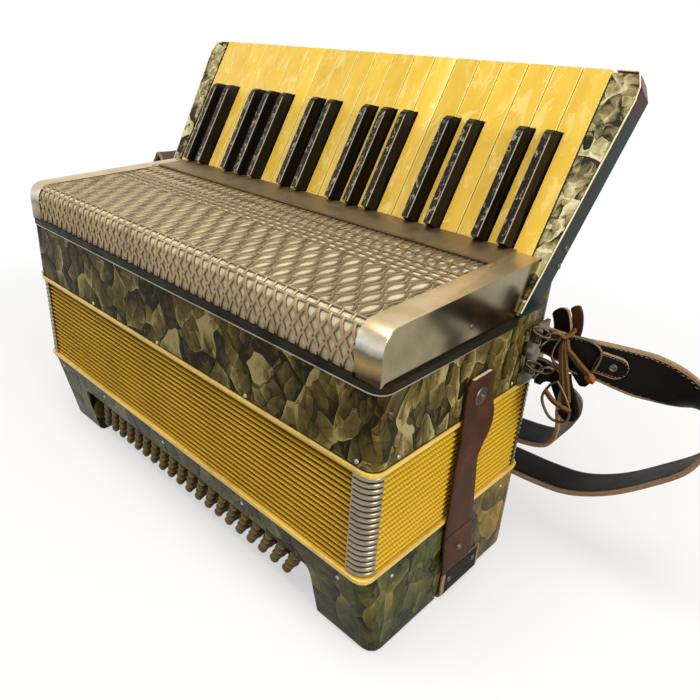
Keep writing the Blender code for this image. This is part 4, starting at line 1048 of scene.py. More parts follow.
def build_materials(scene):
    """Builds the shared node groups and every finish."""
    c = scene.accordion_colours
    shard = scene.accordion_sizes.shard
    for build in (build_pearl_group, build_wear_group, build_grain_group, build_wood_group):
        build()
    treble = (c.treble_dark, c.treble_mid, c.treble_light)
    bass = (c.bass_dark, c.bass_mid, c.bass_light)
    cheek = [linear(code) for code in ("#2b2a20", "#877c57", "#cdc49a")]
    hide = (tuned(c.rawhide, 1.3), tuned(c.rawhide, 1.5))
    pale_edge, bronze, pewter = (linear(code) for code in ("#d8c0a0", "#57492f", "#3a2f22"))
    cap = tuned(linear("#9c927c"), 0.85)
    MATERIALS.update(
        treble=pearloid_finish("treble_pearloid", treble, shard),
        bass=pearloid_finish("bass_pearloid", bass, shard, 5.0, 0.42, linear("#a27e2c")),
        cheek_face=pearloid_finish("cheek_pearloid", cheek, shard * 0.75, 9.0, 0.92),
        white_key=white_key_finish(c),
        black_key=black_key_finish(c),
        binding=binding_finish(c),
        cloth=cloth_finish(c),
        grille=metal_finish("grille_plating", c.metal, 0.34, 0.6, tuned(c.metal, 0.45)),
        border=metal_finish("border_plating", linear("#8b7a5c"), 0.42, 0.5, bronze),
        end_plate=end_plate_finish(c),
        bracket=bracket_finish(c),
        rim=metal_finish("rim_bronze", c.rim, 0.5, 0.6, tuned(c.rim, 0.5)),
        nickel=metal_finish("worn_nickel", c.nickel, 0.24, 0.7, tuned(c.nickel, 0.5)),
        pewter=metal_finish("dull_fittings", linear("#5e5346"), 0.34, 0.6, pewter),
        cap=metal_finish("cap_nickel", cap, 0.26, 0.6, linear("#6a5032"), 0.9),
        backing=backing_finish(c),
        brown=leather_finish("brown_leather", c.brown, tuned(c.brown, 1.3), pale_edge, 0.42),
        black=leather_finish("black_leather", c.black, c.suede, c.tan, 0.4),
        rawhide=leather_finish("rawhide_lace", c.rawhide, *hide, 0.7),
        button=plain_finish("button_horn", c.button, 0.36, 0.35),
        wood=wood_finish("board_wood", c.wood),
        reed_wood=wood_finish("reed_block_wood", tuned(c.wood, 1.9)),
        dark=plain_finish("dark_paint", linear("#0c1413"), 0.45, 0.4),
        cheek_side=cheek_side_finish(),
        cheek_top=plain_finish("cheek_top_celluloid", linear("#cda583"), 0.4, 0.2),
        piping=plain_finish("cheek_piping", linear("#e9dcae"), 0.4, 0.15),
        frayed=plain_finish("frayed_lace", linear("#96591c"), 0.9, 0.4, 300.0),
        thread=plain_finish("strap_thread", linear("#8a7350"), 0.8, 0.3, 400.0),
    )


def repaint(finish, *nodes):
    """Gives CAD nodes their finish."""
    for node in nodes:
        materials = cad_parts[node].data.materials
        materials.clear()
        materials.append(MATERIALS[finish])


def soften(node, width, segments=2, angle=35):
    """Rounds a CAD node's edges with live modifiers."""
    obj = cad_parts[node]
    weld = obj.modifiers.new("weld", "WELD")
    weld.merge_threshold = 0.00001
    round_off = obj.modifiers.new("round", "BEVEL")
    round_off.width = width
    round_off.segments = segments
    round_off.limit_method = "ANGLE"
    round_off.angle_limit = math.radians(angle)
    round_off.harden_normals = False


# Mesh helpers

VERT, EDGE, FACE = bmesh.types.BMVert, bmesh.types.BMEdge, bmesh.types.BMFace


def picked(geom, kind):
    """The elements of one kind in what an operator made."""
    return [g for g in geom if isinstance(g, kind)]


def everything(bm):
    """All of a bmesh's elements."""
    return bm.verts[:] + bm.edges[:] + bm.faces[:]


def linked(name, data):
    """A new object of the scene."""
    obj = bpy.data.objects.new(name, data)
    bpy.context.scene.collection.objects.link(obj)
    return obj


def piece(bm, name, material, body, slot, *nodes, smooth=True, split_angle=40):
    """Makes a finished object of a bmesh and sets it on its body."""
    mesh = bpy.data.meshes.new(name)
    bmesh.ops.recalc_face_normals(bm, faces=bm.faces)
    bm.to_mesh(mesh)
    bm.free()
    obj = linked(name, mesh)
    mesh.materials.append(MATERIALS[material])
    if smooth:
        mesh.polygons.foreach_set("use_smooth", [True] * len(mesh.polygons))
        mesh.set_sharp_from_angle(angle=math.radians(split_angle))
    return dress(obj, body, slot, *nodes)


def dress(obj, body, slot, *nodes):
    """Sets a piece on its body, with what it stands for; slot is not used."""
    if nodes:
        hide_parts(*nodes)
    if body:
        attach(obj, body)
    return obj


def poly_curve(name, paths, cyclic=False, **values):
    """A curve object of straight runs through paths of places."""
    curve = bpy.data.curves.new(name, "CURVE")
    for key, value in values.items():
        setattr(curve, key, value)
    for path in paths:
        spline = curve.splines.new("POLY")
        spline.points.add(len(path) - 1)
        for point, place in zip(spline.points, path):
            point.co = (*place, 1)
        spline.use_cyclic_u = cyclic
    return linked(name, curve)


def wires(name, paths, radius, material, body, slot):
    """Round bars along paths, as one curve object set on its body."""
    obj = poly_curve(
        name, paths, dimensions="3D", bevel_depth=radius, bevel_resolution=1, use_fill_caps=True
    )
    obj.data.materials.append(MATERIALS[material])
    return dress(obj, body, slot)


def meshed(*curves):
    """A bmesh of the first curve object; every one given is taken away."""
    bpy.context.view_layer.update()
    graph = bpy.context.evaluated_depsgraph_get()
    mesh = bpy.data.meshes.new_from_object(curves[0].evaluated_get(graph))
    bm = bmesh.new()
    bm.from_mesh(mesh)
    for obj in curves:
        bpy.data.objects.remove(obj, do_unlink=True)
    bpy.data.meshes.remove(mesh)
    return bm


def filled_outline(outline, x_low, x_high):
    """A bmesh of a flat Y and Z outline drawn out along X."""
    half = (x_high - x_low) / 2
    places = [[(y, z, 0) for y, z in outline]]
    bm = meshed(poly_curve("end", places, True, dimensions="2D", fill_mode="BOTH", extrude=half))
    turn = Matrix(((0, 0, 1, (x_low + x_high) / 2), (1, 0, 0, 0), (0, 1, 0, 0), (0, 0, 0, 1)))
    bmesh.ops.transform(bm, matrix=turn, verts=bm.verts)
    bmesh.ops.remove_doubles(bm, verts=bm.verts, dist=1e-6)
    bmesh.ops.dissolve_limit(bm, angle_limit=0.001, verts=bm.verts, edges=bm.edges)
    return bm


def flat_bars(paths, half_width, height):
    """A bmesh of flat bars along paths in the XY plane."""
    section = [[(x * half_width, y * height, 0) for x, y in BAR_SECTION]]
    shape = poly_curve("bar", section, True)
    places = [[(x, y, 0) for x, y in path] for path in paths]
    how = {"dimensions": "2D", "fill_mode": "NONE", "bevel_mode": "OBJECT", "bevel_object": shape}
    return meshed(poly_curve("bars", places, **how), shape)


def aimed(place, aim):
    """Turns Z to an aim and moves the origin to a place."""
    return Matrix.Translation(place) @ Vector(aim).to_track_quat("Z", "Y").to_matrix().to_4x4()


def add_turned(bm, profile, place, aim, steps=20):
    """Spins a profile of (radius, height) round an axis and sets it in place."""
    verts = [bm.verts.new((r, 0, h)) for r, h in profile]
    edges = [bm.edges.new(pair) for pair in zip(verts, verts[1:])]
    bmesh.ops.spin(
        bm,
        geom=verts + edges,
        cent=(0, 0, 0),
        axis=(0, 0, 1),
        angle=math.tau,
        steps=steps,
        use_merge=True,
    )
    reach = set(verts)
    stack = list(verts)
    while stack:
        for edge in stack.pop().link_edges:
            for vert in edge.verts:
                if vert not in reach:
                    reach.add(vert)
                    stack.append(vert)
    bmesh.ops.remove_doubles(bm, verts=list(reach), dist=1e-6)
    turned = [v for v in reach if v.is_valid]
    bmesh.ops.transform(bm, matrix=aimed(place, aim), verts=turned)


def add_screw(bm, place, aim, radius, height, slot_turn):
    """A slotted round screw head."""
    dome = [(0, height), (radius * 0.5, height * 0.92), (radius * 0.85, height * 0.6)]
    add_turned(bm, dome + [(radius, 0), (radius, -0.0006)], place, aim, 16)
    aim = Vector(aim).normalized()
    made = bmesh.ops.create_cube(bm, size=1.0)["verts"]
    bmesh.ops.scale(bm, vec=(radius * 1.5, radius * 0.2, height * 0.5), verts=made)
    spot = aimed(Vector(place) + aim * height * 0.8, aim)
    bmesh.ops.transform(bm, matrix=spot @ Matrix.Rotation(slot_turn, 4, "Z"), verts=made)


def on_keys(x, along, above):
    """A point given across the keyboard, along the keys and above their tops."""
    return Vector((x, 0, 0)) + KEY_START + KEY_ALONG * along + KEY_OUT * above


def section_outline(steps):
    """Side outline of the grille in Y and Z."""
    top = RIM + GRILLE_FRONT_HEIGHT
    r = NOSE_RADIUS
    points = [(FRONT, RIM)]
    for i in range(steps + 1):
        angle = math.pi - math.pi / 2 * i / steps
        points.append((FRONT + r + r * math.cos(angle), top - r + r * math.sin(angle)))
    sine, cosine = math.sin(KEY_TILT), math.cos(KEY_TILT)
    behind = GRILLE_TO_KEYS
    reach = KEY_START.y - FRONT - behind * sine - NOSE_RADIUS
    along = top + GRILLE_SLOPE * reach - KEY_START.z - behind * cosine
    upper = on_keys(0, along / (sine - GRILLE_SLOPE * cosine), behind)
    lower = on_keys(0, (RIM - KEY_START.z - behind * cosine) / sine, behind)
    return points + [(upper.y, upper.z), (lower.y, lower.z)]


class GrilleSurface:
    """Maps a flat sheet, across and up its length, onto the grille's section."""

    def __init__(self):
        self.points = [Vector((0, y, z)) for y, z in section_outline(16)[:-1]]
        self.lengths = [0.0]
        for first, second in zip(self.points, self.points[1:]):
            self.lengths.append(self.lengths[-1] + (second - first).length)
        self.total = self.lengths[-1]

    def at(self, x, along, out=0.0):
        """World place of a point of the sheet, held off it by a height."""
        along = min(max(along, 0.0), self.total)
        k = 0
        while k < len(self.lengths) - 2 and self.lengths[k + 1] < along:
            k += 1
        share = (along - self.lengths[k]) / (self.lengths[k + 1] - self.lengths[k])
        spot = self.points[k].lerp(self.points[k + 1], share)
        way = (self.points[k + 1] - self.points[k]).normalized()
        normal = Vector((0, -way.z, way.y))
        if normal.z < 0 or (abs(normal.z) < 1e-6 and normal.y > 0):
            normal = -normal
        return Vector((x, spot.y, spot.z)) + normal * out


def smooth_path(points, steps):
    """Reads a smooth curve through points."""
    path = []
    last = len(points) - 1
    for i in range(last):
        before = Vector(points[max(i - 1, 0)])
        start = Vector(points[i])
        end = Vector(points[i + 1])
        after = Vector(points[min(i + 2, last)])
        for k in range(steps):
            t = k / steps
            first = 2 * start + (end - before) * t
            second = (2 * before - 5 * start + 4 * end - after) * t * t
            third = (3 * start - before - 3 * end + after) * t**3
            path.append(0.5 * (first + second + third))
    path.append(Vector(points[-1]))
    return path


def smooth_values(values, steps):
    """Reads a smooth run of numbers through a few."""
    return [v.x for v in smooth_path([(value, 0, 0) for value in values], steps)]


def strap_frame(path, across, i):
    """Ways across and out of a strap at a point of its path."""
    way = (path[min(i + 1, len(path) - 1)] - path[max(i - 1, 0)]).normalized()
    lean = Vector(across[i] if isinstance(across, list) else across)
    side = (lean - way * lean.dot(way)).normalized()
    return side, side.cross(way)


def strap_section(crown, edge):
    """Section of a strap as (share of the width, share of half the thickness, mark)."""
    under = 0.62 if edge else 0.0
    low = [(0.0, -1.0, 1.0), (0.3, -1.0, 1.0), (0.46, -1.0, under), (0.5, -0.6, edge)]
    high = [(0.5, 0.6, edge), (0.46, 1.0, 0.7 * edge), (0.3, 1.0, 0.0), (0.0, 1.0 + crown, 0.0)]
    mirrored = [(-u, v, mark) for u, v, mark in reversed(low[1:])]
    return mirrored + low + high + [(-u, v, mark) for u, v, mark in reversed(high[:-1])]


def add_strap(bm, path, widths, thickness, across, crown=0.0, edge=0.5):
    """A leather strap: rounded flat section swept along a path.

    The way across it is one vector, or one for each point of the path.
    The float layer "side" is 0 on the grain, 0.5 on a cut edge and 1 on the flesh side.
    """
    layer = bm.verts.layers.float.get("side") or bm.verts.layers.float.new("side")
    section = strap_section(crown, edge)
    current = None
    for i, place in enumerate(path):
        side, up = strap_frame(path, across, i)
        half = up * (thickness / 2)
        spots = [place + side * (u * widths[i]) + half * v for u, v, _ in section]
        if current is None:
            current = [bm.verts.new(p) for p in spots]
            edges = list(bm.faces.new(current).edges)
        else:
            made = bmesh.ops.extrude_edge_only(bm, edges=edges)["geom"]
            edges = picked(made, EDGE)
            fresh = set(picked(made, VERT))
            links = [(v, e.other_vert(v)) for v in current for e in v.link_edges]
            pairs = {vert: other for vert, other in links if other in fresh}
            current = [pairs[v] for v in current]
        for vert, spot, (_, _, mark) in zip(current, spots, section):
            vert.co = spot
            vert[layer] = 0.5 if i == len(path) - 1 else mark
    bm.faces.new(current)


def stitch_row(path, widths, across, share, spacing, out):
    """Short raised stitches at a share of a strap's half width, none where it turns tightly."""
    rows = []
    carried = 0.0
    for i in range(1, len(path) - 1):
        way = path[i] - path[i - 1]
        length = way.length
        if length < 1e-6:
            continue
        way.normalize()
        side, up = strap_frame(path, across, i)
        at = spacing - carried
        tight = way.angle(path[i + 1] - path[i]) > STITCH_TURN
        while at < length:
            width = widths[i - 1] + (widths[i] - widths[i - 1]) * at / length
            spot = path[i - 1] + way * at + side * (share * width / 2) + up * out
            if not tight:
                rows.append([spot - way * spacing * 0.3, spot + way * spacing * 0.3])
            at += spacing
        carried = length - (at - spacing)
    return rows


def stitch_rows(path, widths, across, share, spacing, out):
    """Stitches along both edges of a strap."""
    rows = stitch_row(path, widths, across, -share, spacing, out)
    return rows + stitch_row(path, widths, across, share, spacing, out)



def sheet(rows, out, thickness):
    """A bmesh of a sheet between pairs of points, row by row, that grows in from them."""
    bm = bmesh.new()
    edges = [bm.edges.new([bm.verts.new(place) for place in rows[0]])]
    for before, row in zip(rows, rows[1:]):
        edges = picked(bmesh.ops.extrude_edge_only(bm, edges=edges)["geom"], EDGE)
        ordered = sorted(edges[0].verts, key=lambda vert: (vert.co - before[0]).length)
        for vert, place in zip(ordered, row):
            vert.co = place
    bmesh.ops.recalc_face_normals(bm, faces=bm.faces)
    if sum(face.normal.dot(out) for face in bm.faces) > 0:
        bmesh.ops.reverse_faces(bm, faces=bm.faces[:])
    bmesh.ops.solidify(bm, geom=bm.faces[:], thickness=thickness)
    return bm


def push_faces(bm, faces, way):
    """Draws faces out along a way and returns the new ones."""
    made = bmesh.ops.extrude_face_region(bm, geom=faces)["geom"]
    bmesh.ops.translate(bm, vec=way, verts=picked(made, VERT))
    return picked(made, FACE)


def circle(steps):
    """Cosine and sine at even steps round a circle, the first again at the end."""
    turns = [math.tau * i / steps for i in range(steps + 1)]
    return [(math.cos(turn), math.sin(turn)) for turn in turns]


# Operators


class ACCORDION_OT_stage(bpy.types.Operator):
    """Floor, backdrop, lamps and camera"""

    bl_idname = "accordion.stage"
    bl_label = "Stage"

    def execute(self, context):
        scene = context.scene
        scene.view_settings.view_transform = "Standard"
        make_camera(scene)
        make_floor(scene)
        make_lamps(scene)
        return {"FINISHED"}


def make_camera(scene):
    """Camera where the photograph was taken from."""
    az, el, roll = (math.radians(v) for v in (CAMERA_AZIMUTH, CAMERA_TILT, CAMERA_ROLL))
    forward = Vector((math.cos(el) * math.sin(az), math.cos(el) * math.cos(az), math.sin(el)))
    right = forward.cross(Vector((0, 0, 1))).normalized()
    up = right.cross(forward)
    right_rolled = right * math.cos(roll) + up * math.sin(roll)
    up_rolled = up * math.cos(roll) - right * math.sin(roll)
    data = bpy.data.cameras.new("camera")
    data.sensor_width = 36
    data.lens = CAMERA_LENS
    data.shift_x, data.shift_y = CAMERA_SHIFT
    data.clip_start = 0.01
    scene.camera = linked("camera", data)
    turn = Matrix((right_rolled, up_rolled, -forward)).transposed().to_4x4()
    scene.camera.matrix_world = Matrix.Translation(CAMERA_PLACE) @ turn


def make_floor(scene):
    """Pale floor that runs out into a white surround; the object's shadow stays on it."""
    bm = bmesh.new()
    bmesh.ops.create_grid(bm, x_segments=1, y_segments=1, size=FLOOR_SIZE)
    mesh = bpy.data.meshes.new("floor")
    bm.to_mesh(mesh)
    bm.free()
    floor = linked("floor", mesh)
    skin = Finish("floor_paper", 0.95, specular=0.0)
    rays = seen_rays(skin.tree)
    paper = scene.accordion_colours.floor
    colour = mix(rays, tuned(paper, FLOOR_BOUNCE), paper)
    mesh.materials.append(skin.done(colour, noise(skin.coords, 300.0, 3.0), 0.0002, 0.1))
    spread = vector_maths("DOT_PRODUCT", skin.coords, skin.coords)
    out = remap(spread, FLOOR_NEAR**2, FLOOR_FAR**2, 0.55, 1.0)
    paint = Out(skin.tree.nodes["Principled BSDF"].outputs[0])
    glow = add(skin.tree, "ShaderNodeEmission")["Emission"]
    show_mixed("Material Output", rays * out, paint, glow)


def show_mixed(output, factor, first, second):
    """Sends a mix of two shaders to the tree's output."""
    tree = factor.tree
    mixed = add(tree, "ShaderNodeMixShader", {0: factor, 1: first, 2: second})["Shader"]
    feed(tree.nodes[output].inputs["Surface"], mixed)


def seen_rays(tree):
    """1 on rays from the camera and on those that gloss or glass sends on."""
    path = add(tree, "ShaderNodeLightPath")
    rays = maths("MAXIMUM", path["Is Camera Ray"], path["Is Transmission Ray"])
    return maths("MAXIMUM", rays, path["Is Glossy Ray"])


def make_lamps(scene):
    """World light and three large soft lamps."""
    scene.world = bpy.data.worlds.new("studio")
    scene.world.use_nodes = True
    tree = scene.world.node_tree
    light = tree.nodes["Background"]
    light.inputs["Color"].default_value = (1.0, 0.98, 0.95, 1)
    light.inputs["Strength"].default_value = WORLD_STRENGTH
    seen = add(tree, "ShaderNodeBackground", {"Color": (1, 1, 1)})["Background"]
    show_mixed("World Output", seen_rays(tree), Out(light.outputs[0]), seen)
    for name, place, size, power, colour in LAMPS:
        data = bpy.data.lights.new(name, "AREA")
        data.shape = "DISK"
        data.size = size
        data.energy = power
        data.color = colour
        lamp = linked(name, data)
        lamp.location = place
        lamp.rotation_mode = "QUATERNION"
        lamp.rotation_quaternion = (LAMP_AIM - Vector(place)).to_track_quat("-Z", "Y")


class ACCORDION_OT_casings(bpy.types.Operator):
    """Pearloid casings with their bindings, bands and screws"""

    bl_idname = "accordion.casings"
    bl_label = "Casings"

    def execute(self, context):
        repaint("treble", "treble_body")
        repaint("bass", "bass_body")
        repaint("binding", "treble_binding", "bass_binding")
        repaint("wood", "keyboard_bed")
        repaint("nickel", "key_axle")
        repaint("reed_wood", "treble_reed_block", "bass_reed_block")
        repaint("dark", "bass_plate")
        soften("treble_binding", 0.0009, 2, 50)
        soften("bass_binding", 0.0009, 2, 50)
        soften("bass_plate", 0.0006)
        soften("keyboard_bed", 0.0006)
        make_bands()
        make_pins()
        return {"FINISHED"}


def rounded_loop(bm, inset, z, corner):
    """Edges of a rounded rectangle that follows the casing."""
    low = Vector((-HALF + inset, FRONT + inset))
    high = Vector((HALF - inset, BACK - inset))
    middles = (
        (high.x - corner, high.y - corner),
        (low.x + corner, high.y - corner),
        (low.x + corner, low.y + corner),
        (high.x - corner, low.y + corner),
    )
    verts = []
    for quarter, (x, y) in enumerate(middles):
        for i in range(CORNER_STEPS + 1):
            angle = math.pi / 2 * (quarter + i / CORNER_STEPS)
            spot = (x + corner * math.cos(angle), y + corner * math.sin(angle), z)
            verts.append(bm.verts.new(spot))
    return [bm.edges.new(pair) for pair in zip(verts, verts[1:] + verts[:1])]


def make_bands():
    """Dark groove beside each binding and the dark band with a bright line under the grille."""
    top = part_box("treble_binding")[1].z
    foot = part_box("bass_binding")[0].z
    for name, finish, z_low, z_high, proud, inward, body, slot in (
        ("rim_band", "rim", RIM - 0.0040, RIM + 0.0002, 0.0007, 0.0030, TREBLE, "grille"),
        ("rim_line", "nickel", RIM - 0.0050, RIM - 0.0041, 0.0009, 0.0006, TREBLE, "grille"),
        ("treble_groove", "dark", top + 0.0004, top + 0.001, 0.0003, 0.0006, TREBLE, "treble_body"),
        ("bass_groove", "dark", foot - 0.0012, foot - 0.0004, 0.0003, 0.0006, BASS, "bass_body"),
    ):
        bm = bmesh.new()
        edges = rounded_loop(bm, -proud, z_low, BAND_CORNER + proud)
        made = bmesh.ops.extrude_edge_only(bm, edges=edges)["geom"]
        bmesh.ops.translate(bm, vec=(0, 0, z_high - z_low), verts=picked(made, VERT))
        if slot == "grille":
            bmesh.ops.bisect_plane(
                bm,
                geom=everything(bm),
                plane_co=(0, KEY_START.y - 0.001, 0),
                plane_no=(0, 1, 0),
                clear_outer=True,
            )
        bmesh.ops.recalc_face_normals(bm, faces=bm.faces)
        bmesh.ops.solidify(bm, geom=bm.faces[:], thickness=proud + inward)
        piece(bm, name, finish, body, slot)


def make_pins():
    """Small round pins and screws on the casings."""
    bm = bmesh.new()
    for x, z in TREBLE_PINS:
        add_screw(bm, (x, FRONT, z), (0, -1, 0), *PIN, x * 9)
    add_end_pins(bm, TREBLE_END_PINS, 30)
    piece(bm, "treble_pins", "nickel", TREBLE, FITTINGS)
    bm = bmesh.new()
    lean = BASS_SLANT / BASS_TOP
    for x, z in BASS_PINS:
        add_screw(bm, (x, FRONT + lean * (BASS_TOP - z), z), (0, -1, -lean), *PIN, x * 11)
    add_end_pins(bm, BASS_END_PINS, 20)
    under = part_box("bass_plate")[0].z
    for x in (-0.14, 0.0, 0.14):
        for y in (0.055, 0.168):
            add_screw(bm, (x, FRONT + y, under), (0, 0, -1), 0.0022, 0.0009, x * 10)
    piece(bm, "bass_pins", "nickel", BASS, FITTINGS)


def add_end_pins(bm, places, turn):
    """Pins on both end faces; the turn of their slots follows their depth."""
    for side in (-1, 1):
        for y, z in places:
            add_screw(bm, (side * HALF, FRONT + y, z), (side, 0, 0), *PIN, y * turn)


class ACCORDION_OT_bellows(bpy.types.Operator):
    """Pleated bellows with a metal cap on each fold's corners"""

    bl_idname = "accordion.bellows"
    bl_label = "Bellows"

    def execute(self, context):
        sizes = context.scene.accordion_sizes
        make_bellows(sizes)
        make_corner_caps(sizes)
        return {"FINISHED"}


def make_bellows(sizes):
    """One pleated cloth tube between the casings."""
    low, high = BELLOWS_LOW.z, BELLOWS_HIGH.z
    pitch = (high - low) / sizes.bellows_folds
    deep = sizes.fold_depth
    rings = [
        (low + (i + share) * pitch, BELLOWS_INSET + deep * depth)
        for i in range(sizes.bellows_folds)
        for share, depth in FOLD_SECTION
    ]
    rings.append((high, BELLOWS_INSET + deep))
    bm = bmesh.new()
    loops = [rounded_loop(bm, inset, z, CAP_RADIUS - inset) for z, inset in rings]
    for first, second in zip(loops, loops[1:]):
        bmesh.ops.bridge_loops(bm, edges=first + second)
    obj = piece(bm, "bellows_cloth", "cloth", None, "bellows", "bellows", split_angle=60)
    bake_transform(obj)


def make_corner_caps(sizes):
    """Rounded nickel caps, one row of four for each fold."""
    low, high = BELLOWS_LOW.z, BELLOWS_HIGH.z
    pitch = (high - low) / sizes.bellows_folds
    half_height = pitch * CAP_HEIGHT
    face_y = FRONT + CAP_BULGE - 0.0002
    straight = sizes.cap_front - CAP_RADIUS
    quarter = math.radians(90)
    across = Matrix.Translation((0, -(FRONT + BACK) / 2, 0))
    for i in range(sizes.bellows_folds):
        z = low + (i + 0.5) * pitch
        bm = bmesh.new()
        disc = bmesh.ops.create_circle(bm, cap_ends=True, segments=12, radius=1.0)["verts"]
        bmesh.ops.scale(bm, vec=(CAP_BULGE, half_height, 1), verts=disc)
        for axis in "YX":
            turn = Matrix.Rotation(quarter, 3, axis)
            bmesh.ops.rotate(bm, cent=(0, 0, 0), matrix=turn, verts=disc)
        corner = Vector((HALF - (face_y - FRONT) - CAP_RADIUS, face_y + CAP_RADIUS, z))
        bmesh.ops.translate(bm, vec=(corner.x - straight, face_y, z), verts=disc)
        end = push_faces(bm, bm.faces[:], (straight, 0, 0))
        turned = bmesh.ops.spin(
            bm, geom=end, cent=corner, axis=(0, 0, 1), angle=quarter, steps=7, use_merge=False
        )
        end = picked(turned["geom_last"], FACE)
        push_faces(bm, end, (0, max(0.0004, sizes.cap_side - CAP_RADIUS), 0))
        bmesh.ops.delete(bm, geom=[f for f in end if f.is_valid], context="FACES_ONLY")
        # side runs from 0 on a cap's middle line to 1 at its upper and lower edges, where the cap
        # finish paints shade
        layer = bm.verts.layers.float.new("side")
        for vert in bm.verts:
            vert[layer] = min(1.0, abs(vert.co.z - z) / half_height)
        for axis, plane in (("X", Matrix.Identity(4)), ("Y", across)):
            bmesh.ops.mirror(bm, geom=everything(bm), matrix=plane, merge_dist=0, axis=axis)
        name = f"bellows_caps_{i + 1:02d}"
        obj = piece(bm, name, "cap", None, FITTINGS, split_angle=60)
        share = (z - low) / (high - low)
        -BLEND_REACH * share
        BLEND_REACH * (1 - share)
        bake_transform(obj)


class ACCORDION_OT_grille(bpy.types.Operator):
    """Pierced metal grille with its solid ends and borders"""

    bl_idname = "accordion.grille"
    bl_label = "Grille"

    def execute(self, context):
        sizes = context.scene.accordion_sizes
        surface = GrilleSurface()
        repaint("backing", "grille_cloth")
        make_end_plates(sizes)
        make_borders(sizes, surface)
        make_lattice(sizes, surface)
        return {"FINISHED"}


def make_end_plates(sizes):
    """Solid polished ends that close the grille, with a crisp bright edge and a screw."""
    half = GRILLE_HIGH.x
    for label, side in ENDS:
        bm = filled_outline(section_outline(12), half - sizes.end_plate, half)
        rim = [
            edge
            for edge in bm.edges
            if all(abs(vert.co.x - half) < 1e-5 for vert in edge.verts)
            and max(vert.co.z for vert in edge.verts) > RIM + 0.001
            and max(vert.co.y for vert in edge.verts) < KEY_START.y - 0.002
        ]
        bmesh.ops.bevel(
            bm, geom=rim, offset=0.0013, segments=3, profile=0.5, affect="EDGES", material=-1
        )
        if side < 0:
            bmesh.ops.scale(bm, vec=(-1, 1, 1), verts=bm.verts)
        piece(bm, f"grille_plate_{label}", "end_plate", TREBLE, "grille")
        bm = bmesh.new()
        place = (side * half, FRONT + 0.085, RIM + 0.0105)
        add_screw(bm, place, (side, 0, 0), 0.0019, 0.0008, 0.7)
        piece(bm, f"grille_screw_{label}", "pewter", TREBLE, "grille")


def make_borders(sizes, surface):
    """Solid strips along the rim and beside the keys, with a raised line round the piercing."""
    half = GRILLE_HIGH.x - sizes.end_plate + 0.0005
    for name, finish, start, end in (
        ("grille_border_front", "rim", 0.0, 0.0022),
        ("grille_border_back", "border", BORDER_START, surface.total),
    ):
        places = [start + (end - start) * i / 2 for i in range(3)]
        rows = [(surface.at(-half, along), surface.at(half, along)) for along in places]
        bm = sheet(rows, Vector((0, -1, 1)), 0.0014)
        piece(bm, name, finish, TREBLE, "grille", split_angle=30)
    far = BORDER_START + 0.0065
    near = [(half, far), (half + 0.004, far - 0.004), (half + 0.004, far - 0.012)]
    course = [(-x, along) for x, along in reversed(near)] + near
    path = [surface.at(x, along, -0.0002) for x, along in course]
    wires("grille_border_line", [path], 0.0008, "border", TREBLE, "grille")


def make_lattice(sizes, surface):
    """Pierced sheet: arches over the nose, eyes between waving bars, squares and zigzags."""
    half = GRILLE_HIGH.x - sizes.end_plate
    eyes = round(2 * half / EYE_PITCH)
    step = half / eyes

    def rail(along):
        return [[(-half, along), (half, along)]]

    def posts(start, end):
        return [[(-half + i * step, along) for along in (start, end)] for i in range(2 * eyes + 1)]

    def zigzag(start, end):
        return [[(-half + i * step / 2, (start, end)[i % 2]) for i in range(4 * eyes + 1)]]

    def arches(start, end):
        """Crossing bars that sweep one and a half steps to each side."""
        paths = []
        for i in range(-2, 2 * eyes + 3):
            for side in (-1, 1):
                run = []
                for k in range(ARCH_STEPS + 1):
                    t = k / ARCH_STEPS
                    x = -half + i * step + side * 1.5 * step * t * t * (3 - 2 * t)
                    if -half <= x <= half:
                        run.append((x, start + (end - start) * t))
                if len(run) > 1:
                    paths.append(run)
        return paths

    def chains(start, end):
        """Pairs of bars that cross again and again, with staggered eyes between them."""
        paths = []
        for i in range(2 * eyes + 1):
            for side in (-1, 1):
                run = []
                for k in range(CHAIN_STEPS + 1):
                    along = start + (end - start) * k / CHAIN_STEPS
                    turn = math.pi * ((along - start) / EYE_ROW + 0.5 * (i % 2))
                    x = -half + i * step + side * EYE_SWING * math.cos(turn)
                    run.append((min(half, max(-half, x)), along))
                paths.append(run)
        return paths

    nose = flat_bars(arches(0.0016, RAIL_FRONT), sizes.wire, NOSE_BAR)
    near = RAIL_FRONT + RAIL_GAP
    far = near + EYE_ROWS * EYE_ROW
    levels = [far + i * (BORDER_START - far) / 7 for i in range(6)]
    paths = rail(RAIL_FRONT) + rail(near) + posts(RAIL_FRONT, near) + chains(near, far)
    for level in levels[:4]:
        paths += rail(level)
    paths += posts(far, levels[3]) + zigzag(levels[5], levels[3]) + rail(levels[5])
    paths += zigzag(levels[5], BORDER_START) + posts(levels[5], BORDER_START)
    top = flat_bars(paths, sizes.wire * 0.68, TOP_BAR)
    for name, bm in (("grille_nose", nose), ("grille_lattice", top)):
        for vert in bm.verts:
            vert.co = surface.at(vert.co.x, vert.co.y, vert.co.z - BAR_SINK)
        piece(bm, name, "grille", TREBLE, "grille", "grille")


class ACCORDION_OT_keyboard(bpy.types.Operator):
    """Pearl keys and the cheeks beside them"""

    bl_idname = "accordion.keyboard"
    bl_label = "Keyboard"

    def execute(self, context):
        for finish, width, segments in (("white_key", 0.0007, 2), ("black_key", 0.0011, 3)):
            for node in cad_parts:
                if node.startswith(finish):
                    repaint(finish, node)
                    soften(node, width, segments, 40)
        make_cheeks()
        return {"FINISHED"}


